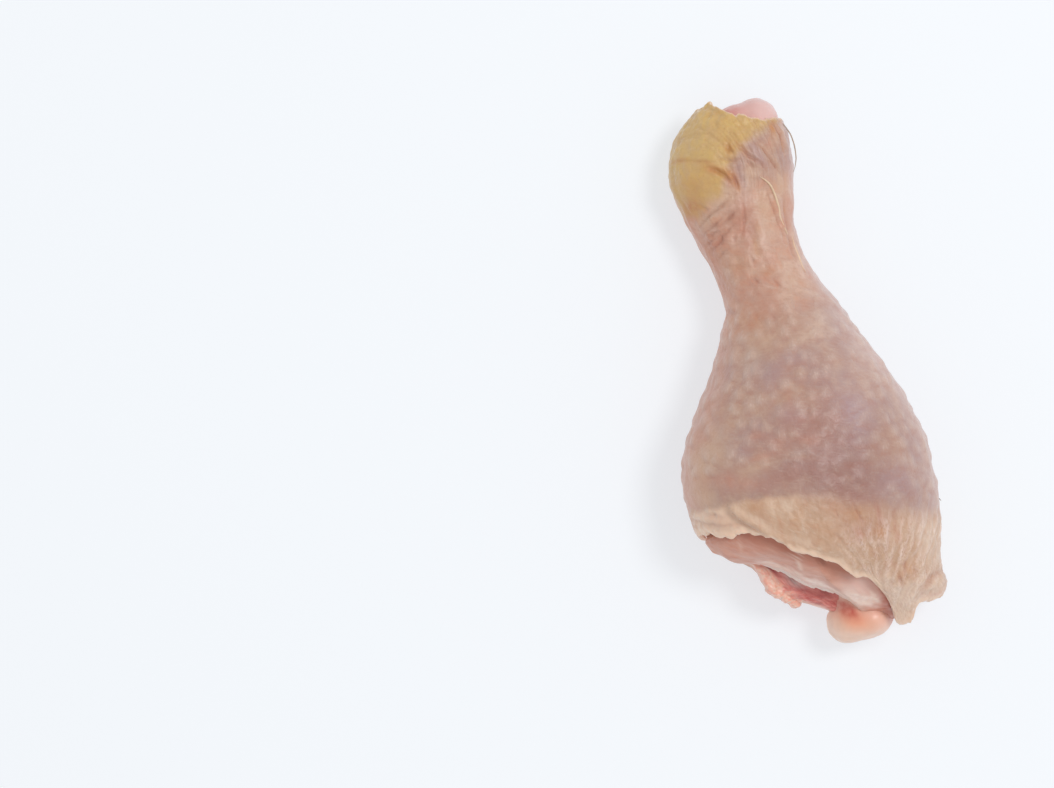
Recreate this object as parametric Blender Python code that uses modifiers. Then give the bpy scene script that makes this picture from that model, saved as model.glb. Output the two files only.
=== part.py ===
"""Raw chicken drumstick lying on its side, as a Blender model in metres.

The leg runs along Y, with the hock (ankle) end at +Y and the cut knee end at -Y. Z is up, and the
meat lies on a flat spot at z = 0. The skin is an open sleeve. Inside it lie a pale upper muscle, a
sheet of fat and a red lower muscle, which all show at the knee cut, and the shin bone, whose
cartilage ends show at both ends.
"""

import math

import bmesh
import bpy
from mathutils import Vector

MM = 0.001

# The whole leg as sections across Y, from the knee to the hock, in millimetres:
# (y, left x, right x, lowest z, highest z).
SECTIONS = [
    (-70.0, 3.0, 10.0, 8.5, 15.5),
    (-67.5, -2.5, 17.5, 4.5, 20.0),
    (-63.5, -5.5, 25.0, 2.2, 25.0),
    (-59.0, -10.5, 28.8, 0.6, 29.5),
    (-54.0, -15.5, 29.4, -0.6, 34.5),
    (-48.0, -19.0, 31.0, -1.2, 39.5),
    (-42.0, -25.5, 32.2, -1.4, 43.2),
    (-34.0, -28.9, 32.7, -1.4, 45.6),
    (-25.0, -29.8, 32.3, -1.4, 46.4),
    (-16.0, -28.4, 30.4, -1.4, 45.2),
    (-6.0, -23.2, 27.5, -1.2, 42.0),
    (4.0, -16.4, 23.2, -0.4, 37.0),
    (12.0, -12.5, 19.2, 1.0, 32.2),
    (19.0, -9.7, 15.9, 2.2, 28.2),
    (27.0, -10.6, 12.8, 2.6, 25.2),
    (36.0, -12.9, 11.8, 1.6, 24.2),
    (44.0, -15.1, 13.5, 0.0, 24.8),
    (52.0, -16.3, 15.2, -0.8, 25.6),
    (58.0, -15.3, 15.5, -0.4, 25.2),
    (63.0, -12.9, 14.4, 1.2, 23.6),
    (67.0, -9.0, 11.6, 4.0, 21.2),
    (69.4, -4.5, 5.5, 7.6, 17.4),
]
WIDEST_AT = 0.45  # how high the widest line of a section is, as a share of its height
POWER_ABOVE = 2.15  # superellipse powers of the two halves of a section
POWER_BELOW = 2.6
FLOOR = 0.0
MIDDLE = Vector((1.45, 0.3, 0.0))  # the middle of the whole leg, which goes to the origin

# Ends are given as (angle round the leg in degrees, y). Angle 0 is the leg's right side, 90 its
# top, 180 its left side and 270 its underside.
SKIN_KNEE_END = [
    (0, -58.0),
    (15, -61.5),
    (30, -64.5),
    (48, -66.6),
    (62, -65.4),
    (75, -59.6),
    (90, -52.0),
    (105, -46.0),
    (120, -40.2),
    (140, -37.4),
    (160, -35.5),
    (180, -35.0),
    (225, -42.0),
    (270, -50.0),
    (315, -55.0),
    (345, -56.5),
]
SKIN_HOCK_END = [
    (0, 62.6),
    (45, 63.2),
    (90, 64.6),
    (135, 67.2),
    (180, 68.2),
    (225, 66.8),
    (270, 64.6),
    (315, 63.4),
]
PALE_KNEE_END = [
    (0, -58.0),
    (30, -62.0),
    (57, -64.5),
    (88, -61.0),
    (100, -57.0),
    (110, -53.5),
    (119, -50.0),
    (128, -46.5),
    (150, -43.0),
    (180, -39.5),
]
FAT_KNEE_END = [
    (0, -59.0),
    (30, -62.5),
    (57, -64.5),
    (92, -61.8),
    (100, -59.0),
    (108, -56.4),
    (117, -53.3),
    (125, -50.4),
    (135, -47.4),
    (150, -44.8),
    (180, -41.5),
]
RED_KNEE_END = [
    (150, -54.0),
    (180, -57.0),
    (225, -60.5),
    (270, -61.5),
    (315, -62.0),
    (360, -61.0),
    (390, -60.0),
]
PALE_HOCK_END = 50.0
FAT_HOCK_END = 44.0
RED_HOCK_END = 57.0
PALE_CORNER = 6.0  # how far each layer's edge rounds off at the knee
FAT_CORNER = 0.7
RED_CORNER = 4.5
CORNER_SHARE = 0.08  # and over how much of its length

SKIN = 1.6
FAT = 1.6
GAP = 0.35
SKIN_GAP = 0.55  # between the skin and the flesh
THINNEST = 0.4  # the least thickness of a layer's edge
# The height of the pale muscle's underside along the leg: (y, z).
SPLIT = [
    (-70.0, 15.0),
    (-60.0, 19.0),
    (-50.0, 23.0),
    (-30.0, 25.5),
    (-10.0, 25.0),
    (4.0, 22.5),
    (27.0, 18.8),
    (42.0, 19.6),
    (57.0, 21.0),
]

# The shin bone's outline, from the hock head to the knee head: (y, radius).
BONE_OUTLINE = [
    (66.0, 0.0),
    (65.4, 2.8),
    (63.0, 5.2),
    (58.0, 6.6),
    (50.0, 6.0),
    (38.0, 4.2),
    (24.0, 3.6),
    (-34.0, 3.6),
    (-48.0, 4.6),
    (-56.0, 5.8),
    (-62.0, 5.4),
    (-65.4, 2.8),
    (-66.0, 0.0),
]
BONE_START = Vector((6.2, 0.0, 10.6))  # where its middle line crosses y = 0
BONE_TILT = 1.6  # degrees that it rises towards the hock
BONE_TURN = 1.5  # degrees that its hock end leans to the leg's left
# The rounded cartilage lobes of its heads: (x, y, z, radius, height as a share of the width).
KNEE_LOBES = [(4.2, -64.0, 8.6, 5.6, 1.1), (10.4, -62.6, 9.0, 6.2, 1.0)]
HOCK_LOBES = [(7.0, 64.4, 11.8, 5.8, 1.25), (-1.6, 62.6, 11.6, 6.2, 1.25)]

AROUND = 32
SKIN_STEPS = 34
LAYER_STEPS = 22
LAYER_POINTS = 13


def smooth_curve(points):
    """A smooth function through (t, value...) points that never overshoots them."""
    ts = [p[0] for p in points]
    columns = list(zip(*[p[1:] for p in points]))
    slopes = []
    for values in columns:
        rise = [(b - a) / (v - u) for a, b, u, v in zip(values, values[1:], ts, ts[1:])]
        inner = [0.0 if a * b <= 0 else 2 * a * b / (a + b) for a, b in zip(rise, rise[1:])]
        slopes.append([rise[0], *inner, rise[-1]])

    def at(t):
        i = min(len(ts) - 2, sum(1 for u in ts[1:] if u <= t))
        step = ts[i + 1] - ts[i]
        s = max(0.0, min(1.0, (t - ts[i]) / step))
        near, near_slope = 2 * s**3 - 3 * s**2 + 1, s**3 - 2 * s**2 + s
        far, far_slope = 3 * s**2 - 2 * s**3, s**3 - s**2
        return [
            near * v[i] + near_slope * step * m[i] + far * v[i + 1] + far_slope * step * m[i + 1]
            for v, m in zip(columns, slopes)
        ]

    return at


def round_the_leg(points):
    """A smooth function of an angle in degrees that closes on itself."""
    before = [(a - 360, y) for a, y in points[-2:]]
    after = [(a + 360, y) for a, y in points[:2]]
    curve = smooth_curve(before + points + after)
    return lambda angle: curve(angle % 360)[0]


section_at = smooth_curve(SECTIONS)
split_at = smooth_curve(SPLIT)


def bounds_at(y, inset):
    """The section's left, right, low and high bounds, moved inwards square to the surface."""
    here, before, after = section_at(y), section_at(y - 0.5), section_at(y + 0.5)
    moved = [inset * math.hypot(1, b - a) for a, b in zip(before, after)]
    left, right, low, high = (v + m * side for v, m, side in zip(here, moved, (1, -1, 1, -1)))
    return min(left, right - 1), max(right, left + 1), low, high


def widest_height(y):
    low, high = section_at(y)[2:]
    return low + WIDEST_AT * (high - low)


def leg_point(angle, y, inset=0.0):
    """The point of the leg's surface at this angle and y, moved inwards by inset."""
    left, right, low, high = bounds_at(y, inset)
    middle = widest_height(y)
    c, s = math.cos(math.radians(angle)), math.sin(math.radians(angle))
    above = s > 0
    power = 2 / (POWER_ABOVE if above else POWER_BELOW)
    x = (left + right) / 2 + (right - left) / 2 * math.copysign(abs(c) ** power, c)
    z = middle + max(0.3, high - middle if above else middle - low) * math.copysign(abs(s) ** power, s)
    return Vector((x, y, max(z, FLOOR + inset)))


def angle_at_height(y, height):
    """The angle, from 0 to 90, where the inside of the skin is this high."""
    high, middle = bounds_at(y, SKIN + SKIN_GAP)[3], widest_height(y)
    share = min(0.96, max(0.0, (height - middle) / max(0.3, high - middle)))
    return math.degrees(math.asin(share ** (POWER_ABOVE / 2)))


def loft(name, rings, ladder=0):
    """A mesh object through rings of as many points each, given in millimetres. Its ends stay open
    if ladder is 0. Otherwise they close with a row of faces between the ring's first ladder points
    and the rest, which runs back from the last of them to the first."""
    bm = bmesh.new()
    rows = [[bm.verts.new(p * MM) for p in ring] for ring in rings]
    for near, far in zip(rows, rows[1:]):
        for i in range(len(near)):
            j = (i + 1) % len(near)
            bm.faces.new((near[i], near[j], far[j], far[i]))
    if ladder:
        for row in (rows[0], rows[-1]):
            back = row[ladder:][::-1]
            if len(back) < ladder:
                back = [row[0], *back, row[ladder - 1]]
            for a, b, c, d in zip(row, row[1:ladder], back[1:], back):
                bm.faces.new(list(dict.fromkeys((a, b, c, d))))
    bmesh.ops.recalc_face_normals(bm, faces=bm.faces)
    if ladder and bm.calc_volume(signed=True) < 0:
        bmesh.ops.reverse_faces(bm, faces=bm.faces)
    mesh = bpy.data.meshes.new(name)
    bm.to_mesh(mesh)
    bm.free()
    mesh.shade_smooth()
    return bpy.data.objects.new(name, mesh)


def towards_the_ends(share):
    """Moves an even 0 to 1 spacing towards both ends, where the shape turns fastest."""
    return share - 0.45 * math.sin(2 * math.pi * share) / (2 * math.pi)


def make_skin():
    """The sleeve of skin, open at the knee and at the hock, thickened inwards."""
    knee, hock = round_the_leg(SKIN_KNEE_END), round_the_leg(SKIN_HOCK_END)
    angles = [360 * i / AROUND for i in range(AROUND)]
    rings = []
    for k in range(SKIN_STEPS + 1):
        share = towards_the_ends(k / SKIN_STEPS)
        rings.append([leg_point(a, knee(a) + share * (hock(a) - knee(a))) for a in angles])
    skin = loft("skin", rings)
    thickness = skin.modifiers.new("thickness", "SOLIDIFY")
    thickness.thickness = SKIN * MM
    thickness.offset = -1
    return skin


def make_layer(name, knee_end, hock_end, corner, low, high):
    """A layer of flesh inside the skin. low and high are its bounds about the split, or None for
    the side where it reaches the skin."""
    end_at = smooth_curve(knee_end)
    rings = []
    for k in range(LAYER_STEPS + 1):
        along = (k / LAYER_STEPS) ** 1.25
        turn = max(0.0, 1 - along / CORNER_SHARE)
        rounding = corner * (1 - math.sqrt(1 - 0.98 * turn**2))
        ring = []
        for i in range(LAYER_POINTS + 1):
            y = hock_end
            for _ in range(4):
                edge = angle_at_height(y, split_at(y)[0] + (low if high is None else high))
                start, stop = (180 - edge, 360 + edge) if low is None else (edge, 180 - edge)
                angle = start + i / LAYER_POINTS * (stop - start)
                end = end_at(angle)[0]
                y = end + along * (hock_end - end)
            ring.append(leg_point(angle, y, SKIN + SKIN_GAP + rounding))
            if low is not None:
                ring[-1].x = leg_point(angle, y, SKIN + SKIN_GAP).x
        first, last = ring[0], ring[-1]
        if low is None:
            first.z, last.z = (split_at(p.y)[0] + high for p in (first, last))
            facing = [first.lerp(last, i / LAYER_POINTS) for i in range(1, LAYER_POINTS)]
            facing = [Vector((p.x, p.y, split_at(p.y)[0] + high)) for p in facing]
        else:
            facing = [Vector((p.x, p.y, split_at(p.y)[0] + low)) for p in ring]
            if high is None:
                for p, under in zip(ring, facing):
                    p.z = max(p.z, under.z + THINNEST)
                first.z, last.z = facing[0].z, facing[-1].z
                facing = facing[1:-1]
            else:
                ring = [Vector((p.x, p.y, split_at(p.y)[0] + high)) for p in ring]
        rings.append(ring + facing[::-1])
    return loft(name, rings, ladder=LAYER_POINTS + 1)


def place(obj, collection, cutter=False):
    """Puts an object in a collection, moved so that the leg's middle is at the origin."""
    obj.location -= MIDDLE * MM
    collection.objects.link(obj)
    if cutter:
        obj.hide_render = True
        obj.display_type = "WIRE"


def make_bone(name, grown, cutters):
    """The shin bone: a turned shaft and heads, joined to the cartilage lobes. grown thickens it."""
    bm = bmesh.new()
    outline = [(radius + grown if radius else 0.0, y * (1 + grown / 66)) for y, radius in BONE_OUTLINE]
    line = [bm.verts.new(Vector((x, 0, y)) * MM) for x, y in outline]
    for a, b in zip(line, line[1:]):
        bm.edges.new((a, b))
    mesh = bpy.data.meshes.new(name)
    bm.to_mesh(mesh)
    bm.free()
    mesh.shade_smooth()
    bone = bpy.data.objects.new(name, mesh)
    bone.location = BONE_START * MM
    bone.rotation_euler = (math.radians(-90 + BONE_TILT), 0.0, math.radians(BONE_TURN))
    turned = bone.modifiers.new("turned", "SCREW")
    turned.steps = turned.render_steps = 20
    turned.use_merge_vertices = True
    turned.merge_threshold = 0.00001
    for i, (x, y, z, radius, height) in enumerate(KNEE_LOBES + HOCK_LOBES):
        ball = bmesh.new()
        bmesh.ops.create_uvsphere(ball, u_segments=16, v_segments=10, radius=(radius + grown) * MM)
        bmesh.ops.scale(ball, vec=(1, 1, height), verts=ball.verts)
        lobe_mesh = bpy.data.meshes.new(f"{name}_lobe_{i}")
        ball.to_mesh(lobe_mesh)
        ball.free()
        lobe = bpy.data.objects.new(lobe_mesh.name, lobe_mesh)
        lobe.location = Vector((x, y, z)) * MM
        place(lobe, cutters, cutter=True)
        joined = bone.modifiers.new(f"lobe_{i}", "BOOLEAN")
        joined.operation = "UNION"
        joined.object = lobe
    return bone


def material(name, colour, roughness):
    made = bpy.data.materials.new(name)
    made.use_nodes = True
    shader = made.node_tree.nodes["Principled BSDF"]
    shader.inputs["Base Color"].default_value = (*colour, 1.0)
    shader.inputs["Roughness"].default_value = roughness
    shader.inputs["Metallic"].default_value = 0.0
    return made


def main():
    for obj in list(bpy.data.objects):
        bpy.data.objects.remove(obj)
    parts = bpy.data.collections.new("drumstick")
    cutters = bpy.data.collections.new("cutters")
    for collection in (parts, cutters):
        bpy.context.scene.collection.children.link(collection)

    def add(obj, *finish):
        obj.data.materials.append(material(obj.name, *finish))
        place(obj, parts)

    channel = make_bone("bone_channel_cutter", GAP, cutters)
    place(channel, cutters, cutter=True)

    add(make_skin(), (0.52, 0.35, 0.27), 0.42)
    pale = make_layer("pale_muscle", PALE_KNEE_END, PALE_HOCK_END, PALE_CORNER, 0.0, None)
    add(pale, (0.55, 0.31, 0.25), 0.35)
    fat = make_layer("fat_sheet", FAT_KNEE_END, FAT_HOCK_END, FAT_CORNER, -GAP - FAT, -GAP)
    add(fat, (0.64, 0.52, 0.44), 0.4)
    red = make_layer("red_muscle", RED_KNEE_END, RED_HOCK_END, RED_CORNER, None, -2 * GAP - FAT)
    cut = red.modifiers.new("bone_channel", "BOOLEAN")
    cut.operation = "DIFFERENCE"
    cut.object = channel
    add(red, (0.45, 0.16, 0.13), 0.35)
    add(make_bone("shin_bone", 0.0, cutters), (0.65, 0.42, 0.37), 0.3)


main()
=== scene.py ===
"""The looks of a raw chicken drumstick that lies on its side, seen from straight above.

Every size is in millimetres in the leg's own frame until build_mesh turns it into metres: +Y runs
to the ankle, +Z is up and the floor is z = 0. A line or patch on the upper side is placed by its
x and y as the picture's camera sees it (see as_seen).
"""

import math

import bmesh
import bpy
import numpy as np
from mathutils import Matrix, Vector


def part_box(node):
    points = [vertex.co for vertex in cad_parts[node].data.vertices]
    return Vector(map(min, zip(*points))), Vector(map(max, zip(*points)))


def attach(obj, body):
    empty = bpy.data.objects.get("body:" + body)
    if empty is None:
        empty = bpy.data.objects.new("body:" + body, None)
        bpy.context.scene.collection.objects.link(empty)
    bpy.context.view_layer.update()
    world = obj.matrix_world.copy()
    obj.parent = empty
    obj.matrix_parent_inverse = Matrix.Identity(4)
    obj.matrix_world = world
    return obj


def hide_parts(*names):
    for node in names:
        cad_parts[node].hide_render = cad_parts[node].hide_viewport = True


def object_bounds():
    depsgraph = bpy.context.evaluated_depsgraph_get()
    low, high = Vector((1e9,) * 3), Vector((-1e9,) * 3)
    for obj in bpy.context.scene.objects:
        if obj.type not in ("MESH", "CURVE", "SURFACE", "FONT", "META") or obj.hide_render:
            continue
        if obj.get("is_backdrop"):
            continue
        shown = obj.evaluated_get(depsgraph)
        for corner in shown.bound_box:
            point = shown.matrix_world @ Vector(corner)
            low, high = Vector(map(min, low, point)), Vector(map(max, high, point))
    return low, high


MM = 0.001

# ---- The picture's camera, which looks straight down ----
PICTURE_TURN = -12.5  # degrees that the camera's up turns from +Y
PICTURE_CENTRE = (-62.6, 8.6)  # the place in the leg's frame that it looks at
PICTURE_LEVEL = 20.0  # the height at which places in the picture keep their true distances
PICTURE_WIDTH = 263.5  # what it sees across at that height
CAMERA_HEIGHT = 900.0  # above that height

# ---- The leg's form: (y, left x, right x, lowest z, highest z), from knee to hock ----
SECTIONS = [
    (-70.0, 1.0, 25.0, 6.5, 18.5),
    (-67.5, -2.5, 26.4, 4.5, 21.0),
    (-63.5, -5.5, 28.0, 2.2, 25.0),
    (-59.0, -10.5, 29.6, 0.6, 29.5),
    (-54.0, -15.5, 29.6, -0.6, 34.5),
    (-48.0, -19.0, 30.8, -1.2, 39.5),
    (-42.0, -25.5, 31.9, -1.4, 43.2),
    (-34.0, -28.9, 32.5, -1.4, 45.6),
    (-25.0, -29.6, 32.2, -1.4, 46.4),
    (-16.0, -28.1, 30.4, -1.4, 45.2),
    (-6.0, -22.7, 27.5, -1.2, 42.0),
    (4.0, -15.9, 23.2, -0.4, 37.0),
    (12.0, -12.0, 19.6, 1.0, 32.2),
    (19.0, -9.2, 16.3, 2.2, 28.2),
    (27.0, -10.0, 13.3, 2.6, 25.2),
    (36.0, -12.2, 12.3, 1.6, 24.2),
    (44.0, -14.5, 14.1, 0.0, 24.8),
    (52.0, -15.7, 15.9, -0.8, 25.6),
    (58.0, -14.7, 16.1, -0.4, 25.2),
    (63.0, -12.4, 14.8, 1.2, 23.6),
    (67.0, -8.8, 11.8, 4.0, 21.2),
    (70.0, -4.5, 5.5, 7.6, 17.4),
]
WIDEST_AT = 0.45
POWER_ABOVE = 2.0
POWER_BELOW = 2.6
SKIN = 1.6
FLESH_INSET = 2.15
# The underside of the pale muscle: (y, z).
SPLIT = [(-70, 15.0), (-60, 19.0), (-50, 23.0), (-30, 25.5), (-10, 25.0), (4, 22.5), (27, 18.8), (42, 19.6), (57, 21.0)]

# ---- Edges, as (x, y) in the picture ----
SKIN_KNEE_EDGE = [
    (-27.9, -34.6), (-26.0, -34.8), (-25.0, -35.1), (-23.8, -36.1), (-22.0, -36.5), (-20.2, -37.2), (-19.0, -36.4),
    (-17.5, -36.7), (-16.0, -37.5), (-14.0, -38.3), (-12.0, -39.2), (-10.0, -40.2), (-8.5, -41.2), (-7.9, -42.3),
    (-6.2, -43.7), (-4.0, -44.7), (-2.0, -45.7), (0.0, -46.7), (2.0, -48.4), (4.4, -49.7), (5.6, -50.8), (6.6, -52.3),
    (7.8, -53.6), (9.4, -53.9), (11.0, -54.7), (12.2, -55.8), (13.0, -56.9), (13.5, -58.6), (14.1, -60.6),
    (14.6, -62.8), (15.0, -64.8), (15.1, -66.6), (15.8, -67.6), (17.2, -67.9), (18.6, -67.5), (19.8, -66.4),
    (20.8, -64.8), (21.6, -63.4), (22.8, -62.9), (24.0, -63.2), (26.0, -63.1), (27.6, -62.4), (28.7, -61.2),
    (29.3, -59.6),
]
SKIN_KNEE_BELOW = [(180, -34.6), (205, -38.5), (235, -44.0), (270, -50.0), (315, -55.0), (345, -57.5), (360, -59.0)]
SKIN_HOCK_EDGE = [
    (-8.6, 67.8), (-6.0, 68.8), (-4.0, 69.4), (-2.7, 69.8), (-1.6, 68.7), (-0.6, 67.9), (0.6, 66.7), (1.6, 66.0),
    (2.8, 65.3), (3.5, 64.8), (4.3, 65.2), (5.2, 64.4), (6.4, 63.8), (8.0, 63.3), (9.4, 62.7), (10.4, 62.0),
    (11.4, 62.3), (12.6, 62.1), (13.9, 61.6),
]
SKIN_HOCK_BELOW = [(180, 67.8), (225, 66.0), (270, 64.0), (315, 62.6), (360, 61.6)]
PALE_EDGE = [
    (-28.2, -36.0), (-27.0, -38.4), (-26.0, -40.0), (-24.0, -41.3), (-22.0, -42.2), (-20.0, -43.1), (-18.0, -44.1),
    (-16.2, -44.8), (-14.0, -45.7), (-12.0, -46.9), (-10.0, -48.2), (-8.0, -49.7), (-6.4, -51.2), (-5.0, -52.6),
    (-3.4, -53.6), (-1.5, -54.6), (0.4, -55.6), (2.2, -56.6), (3.8, -57.8), (4.8, -59.6), (5.6, -61.2), (7.0, -63.0),
    (10.0, -65.0), (13.0, -66.4), (16.0, -66.6), (22.0, -62.0), (28.0, -57.0),
]
FAT_EDGE = [
    (-28.5, -36.0), (-22.0, -42.2), (-18.0, -44.2), (-16.0, -45.2), (-14.0, -46.2), (-12.0, -47.5), (-10.0, -48.9),
    (-8.0, -50.6), (-6.2, -52.2), (-5.0, -53.3), (-3.6, -54.2), (-2.0, -55.0), (0.0, -55.9), (1.0, -56.5),
    (3.0, -57.3), (4.0, -58.6), (4.6, -60.0), (5.6, -61.6), (8.0, -63.4), (11.0, -64.6), (16.0, -65.0), (22.0, -61.0),
    (28.0, -56.0),
]
RED_EDGE = [
    (-14.5, -54.4), (-13.0, -55.0), (-11.6, -55.7), (-10.0, -56.5), (-9.2, -57.7), (-8.1, -58.4), (-7.2, -57.9),
    (-6.9, -57.1), (-5.6, -57.7), (-4.0, -58.7), (-2.0, -59.8), (0.0, -61.0), (0.8, -62.0), (3.0, -63.6),
    (8.0, -65.0), (17.0, -65.0), (23.0, -62.0), (27.0, -58.0),
]
PALE_FACE = 7.5  # the length along the leg over which the pale muscle rounds down to its edge
RED_FACE = 7.0
HOCK_ENDS = {"pale": 50.0, "fat": 44.0, "red": 57.0}

# ---- Folds and creases on the skin, as (x, y) in the picture ----
FAT_LINE = [
    (-31.0, -28.3), (-27.0, -29.0), (-24.0, -29.3), (-20.0, -29.0), (-15.0, -28.9), (-10.0, -29.4), (-5.0, -30.3),
    (0.0, -30.8), (5.0, -31.5), (9.0, -33.6), (14.0, -35.4), (18.0, -37.0), (22.0, -38.8), (26.0, -40.0),
    (33.0, -41.5),
]
FLAP_FOLD = [
    (-19.4, -29.4), (-18.6, -31.0), (-17.8, -32.6), (-16.2, -34.8), (-14.4, -36.2), (-12.6, -37.9), (-10.4, -39.6),
    (-8.2, -41.6),
]
ARCH_CREASE = [(-13.8, -23.2), (-11.0, -21.6), (-8.2, -20.9), (-4.5, -20.8), (-1.8, -21.1), (3.0, -22.1), (7.2, -24.3)]
NECK_CREASE = [(-12.0, 17.6), (-9.6, 17.7), (-8.2, 17.4), (-6.8, 16.9)]

# Short wrinkles: (depth, half width, [(x, y)...]).
WRINKLES = [
    # round the ankle's pad
    (0.60, 0.50, [(-6.2, 54.2), (-4.6, 53.2), (-3.2, 52.0), (-2.2, 50.8), (-1.9, 49.4)]),
    (0.45, 0.40, [(-3.4, 56.0), (-1.6, 55.2), (0.0, 54.5), (2.0, 54.2)]),
    (0.34, 0.32, [(-1.6, 52.4), (-0.4, 50.6), (0.0, 48.6), (0.0, 46.6)]),
    (0.45, 0.40, [(-0.3, 58.8), (0.0, 57.4), (1.2, 56.4)]),
    (0.16, 0.35, [(-15.0, 57.3), (-12.6, 57.2), (-10.8, 56.8), (-8.6, 56.4), (-6.2, 55.6), (-4.2, 54.9)]),
    (0.20, 0.35, [(-10.4, 45.8), (-9.0, 44.4), (-7.8, 43.2)]),
    # down the ankle's right side
    (0.42, 0.30, [(1.9, 58.6), (3.2, 56.6), (4.4, 54.8), (5.6, 53.6), (7.0, 52.0), (8.0, 50.0)]),
    (0.26, 0.28, [(3.4, 54.0), (4.6, 52.4), (5.0, 50.8)]),
    (0.42, 0.32, [(6.6, 58.0), (8.0, 56.0), (9.0, 54.0), (10.0, 51.6), (10.6, 49.8), (11.6, 48.0)]),
    (0.26, 0.28, [(11.6, 62.0), (12.6, 60.0), (13.2, 57.4), (13.0, 54.0)]),
    # on the neck
    (0.36, 0.34, [(-10.3, 33.2), (-8.6, 34.2), (-7.4, 35.0), (-6.4, 36.4), (-4.8, 37.2)]),
    (0.36, 0.30, [(-9.8, 36.8), (-8.2, 37.8), (-7.0, 38.0)]),
    (0.40, 0.30, [(-6.4, 39.0), (-4.6, 40.0), (-3.0, 41.0), (-1.4, 42.2)]),
    (0.38, 0.30, [(-12.0, 39.6), (-9.8, 41.2), (-7.6, 42.6), (-5.6, 43.4), (-3.8, 44.6), (-2.4, 45.4)]),
    (0.28, 0.34, [(-1.4, 35.8), (-0.9, 37.4), (-0.3, 38.8), (0.1, 40.6), (0.3, 43.2)]),
    (0.34, 0.30, [(-11.4, 37.4), (-9.6, 38.6), (-7.6, 39.6), (-5.4, 41.0)]),
    (0.30, 0.28, [(-11.0, 34.9), (-9.4, 35.8), (-8.2, 36.4)]),
    (0.28, 0.28, [(-5.6, 36.4), (-4.0, 38.0), (-2.4, 39.0)]),
    (0.26, 0.28, [(-8.6, 31.0), (-7.0, 32.4), (-5.4, 33.2)]),
    (0.25, 0.35, [(-4.0, 34.2), (-3.2, 36.2)]),
    (0.20, 0.30, [(-0.5, 30.2), (-0.4, 28.6)]),
    (0.25, 0.35, [(-1.6, 24.8), (-0.2, 23.4), (0.6, 22.8)]),
    (0.25, 0.40, [(3.6, 23.4), (4.6, 22.0), (5.4, 20.6)]),
    (0.26, 0.30, [(6.9, 46.6), (7.2, 43.6), (7.5, 40.6), (7.9, 37.4), (8.4, 34.4), (8.7, 31.4)]),
    (0.30, 0.40, [(10.9, 43.0), (10.3, 40.0), (10.0, 37.0), (9.9, 34.0), (10.0, 30.0), (10.4, 26.6)]),
    # on the body and the thick skin
    (0.20, 0.30, [(-3.4, -23.0), (-1.2, -22.6), (-0.2, -23.3)]),
    (0.20, 0.30, [(4.9, -41.8), (5.8, -43.4), (6.6, -45.4)]),
    (0.18, 0.30, [(6.4, -36.4), (6.9, -39.0)]),
    (0.20, 0.30, [(-0.9, -43.4), (-0.6, -44.4)]),
    (0.30, 0.35, [(11.2, -35.4), (11.5, -37.6), (12.6, -41.6)]),
    (0.30, 0.35, [(17.0, -37.4), (16.9, -39.6), (16.4, -42.0), (15.6, -44.4)]),
    (0.30, 0.35, [(18.8, -54.4), (18.2, -56.0), (18.6, -57.6), (17.8, -59.0)]),
    (0.25, 0.35, [(20.8, -52.0), (20.0, -53.8), (19.4, -55.6)]),
    (0.22, 0.35, [(22.4, -53.4), (22.0, -55.4), (21.2, -57.0)]),
    (0.35, 0.60, [(30.5, -56.6), (28.2, -57.0), (25.4, -57.8), (23.2, -59.6), (22.0, -62.0)]),
    (0.24, 0.45, [(-30.2, -30.8), (-27.4, -31.8), (-24.6, -33.0), (-21.0, -34.2), (-18.2, -34.6)]),
    (0.18, 0.45, [(-26.0, -30.2), (-23.6, -31.0), (-20.8, -32.4)]),
    (0.16, 0.40, [(-20.0, -35.6), (-17.6, -35.4), (-15.6, -36.2)]),
]
TENDON = [(6.0, 49.0), (7.0, 48.0), (8.0, 46.5), (8.6, 44.0), (8.8, 42.0), (8.9, 40.0), (8.7, 38.5), (8.9, 37.0), (9.3, 35.0), (9.6, 33.4)]
LOW_STREAK = [(10.6, 33.4), (10.6, 31.0), (11.0, 28.0), (11.4, 25.4), (12.0, 23.2)]
EDGE_FOLD = [(13.2, 61.6), (13.8, 59.0), (14.2, 56.0), (14.2, 53.0), (13.6, 49.6)]
LOOSE = [(14.0, 61.6), (15.1, 59.5), (15.9, 57.0), (16.1, 54.5), (15.9, 52.0), (15.3, 50.0), (14.5, 48.4)]
FINE_FEATHER = [(31.6, -38.6), (32.3, -39.2), (32.7, -39.9)]


def smooth_curve(points):
    """A smooth function through (t, value...) points that never overshoots them. It takes an array
    of t and gives an array with the values on its last axis."""
    table = np.array(points, float)
    t, values = table[:, 0], table[:, 1:]
    rise = np.diff(values, axis=0) / np.diff(t)[:, None]
    slope = np.zeros_like(values)
    slope[0], slope[-1] = rise[0], rise[-1]
    before, after = rise[:-1], rise[1:]
    product, total = before * after, before + after
    slope[1:-1] = np.where(product > 0, 2 * product / np.where(total == 0, 1, total), 0)

    def at(x):
        x = np.asarray(x, float)
        i = np.clip(np.searchsorted(t, x, side="right") - 1, 0, len(t) - 2)
        step = (t[i + 1] - t[i])[..., None]
        s = np.clip((x - t[i])[..., None] / step, 0, 1)
        near = (2 * s**3 - 3 * s**2 + 1) * values[i] + (s**3 - 2 * s**2 + s) * step * slope[i]
        far = (3 * s**2 - 2 * s**3) * values[i + 1] + (s**3 - s**2) * step * slope[i + 1]
        return near + far

    return at


def smoothstep(low, high, x):
    s = np.clip((x - low) / (high - low), 0, 1)
    return s * s * (3 - 2 * s)


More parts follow.
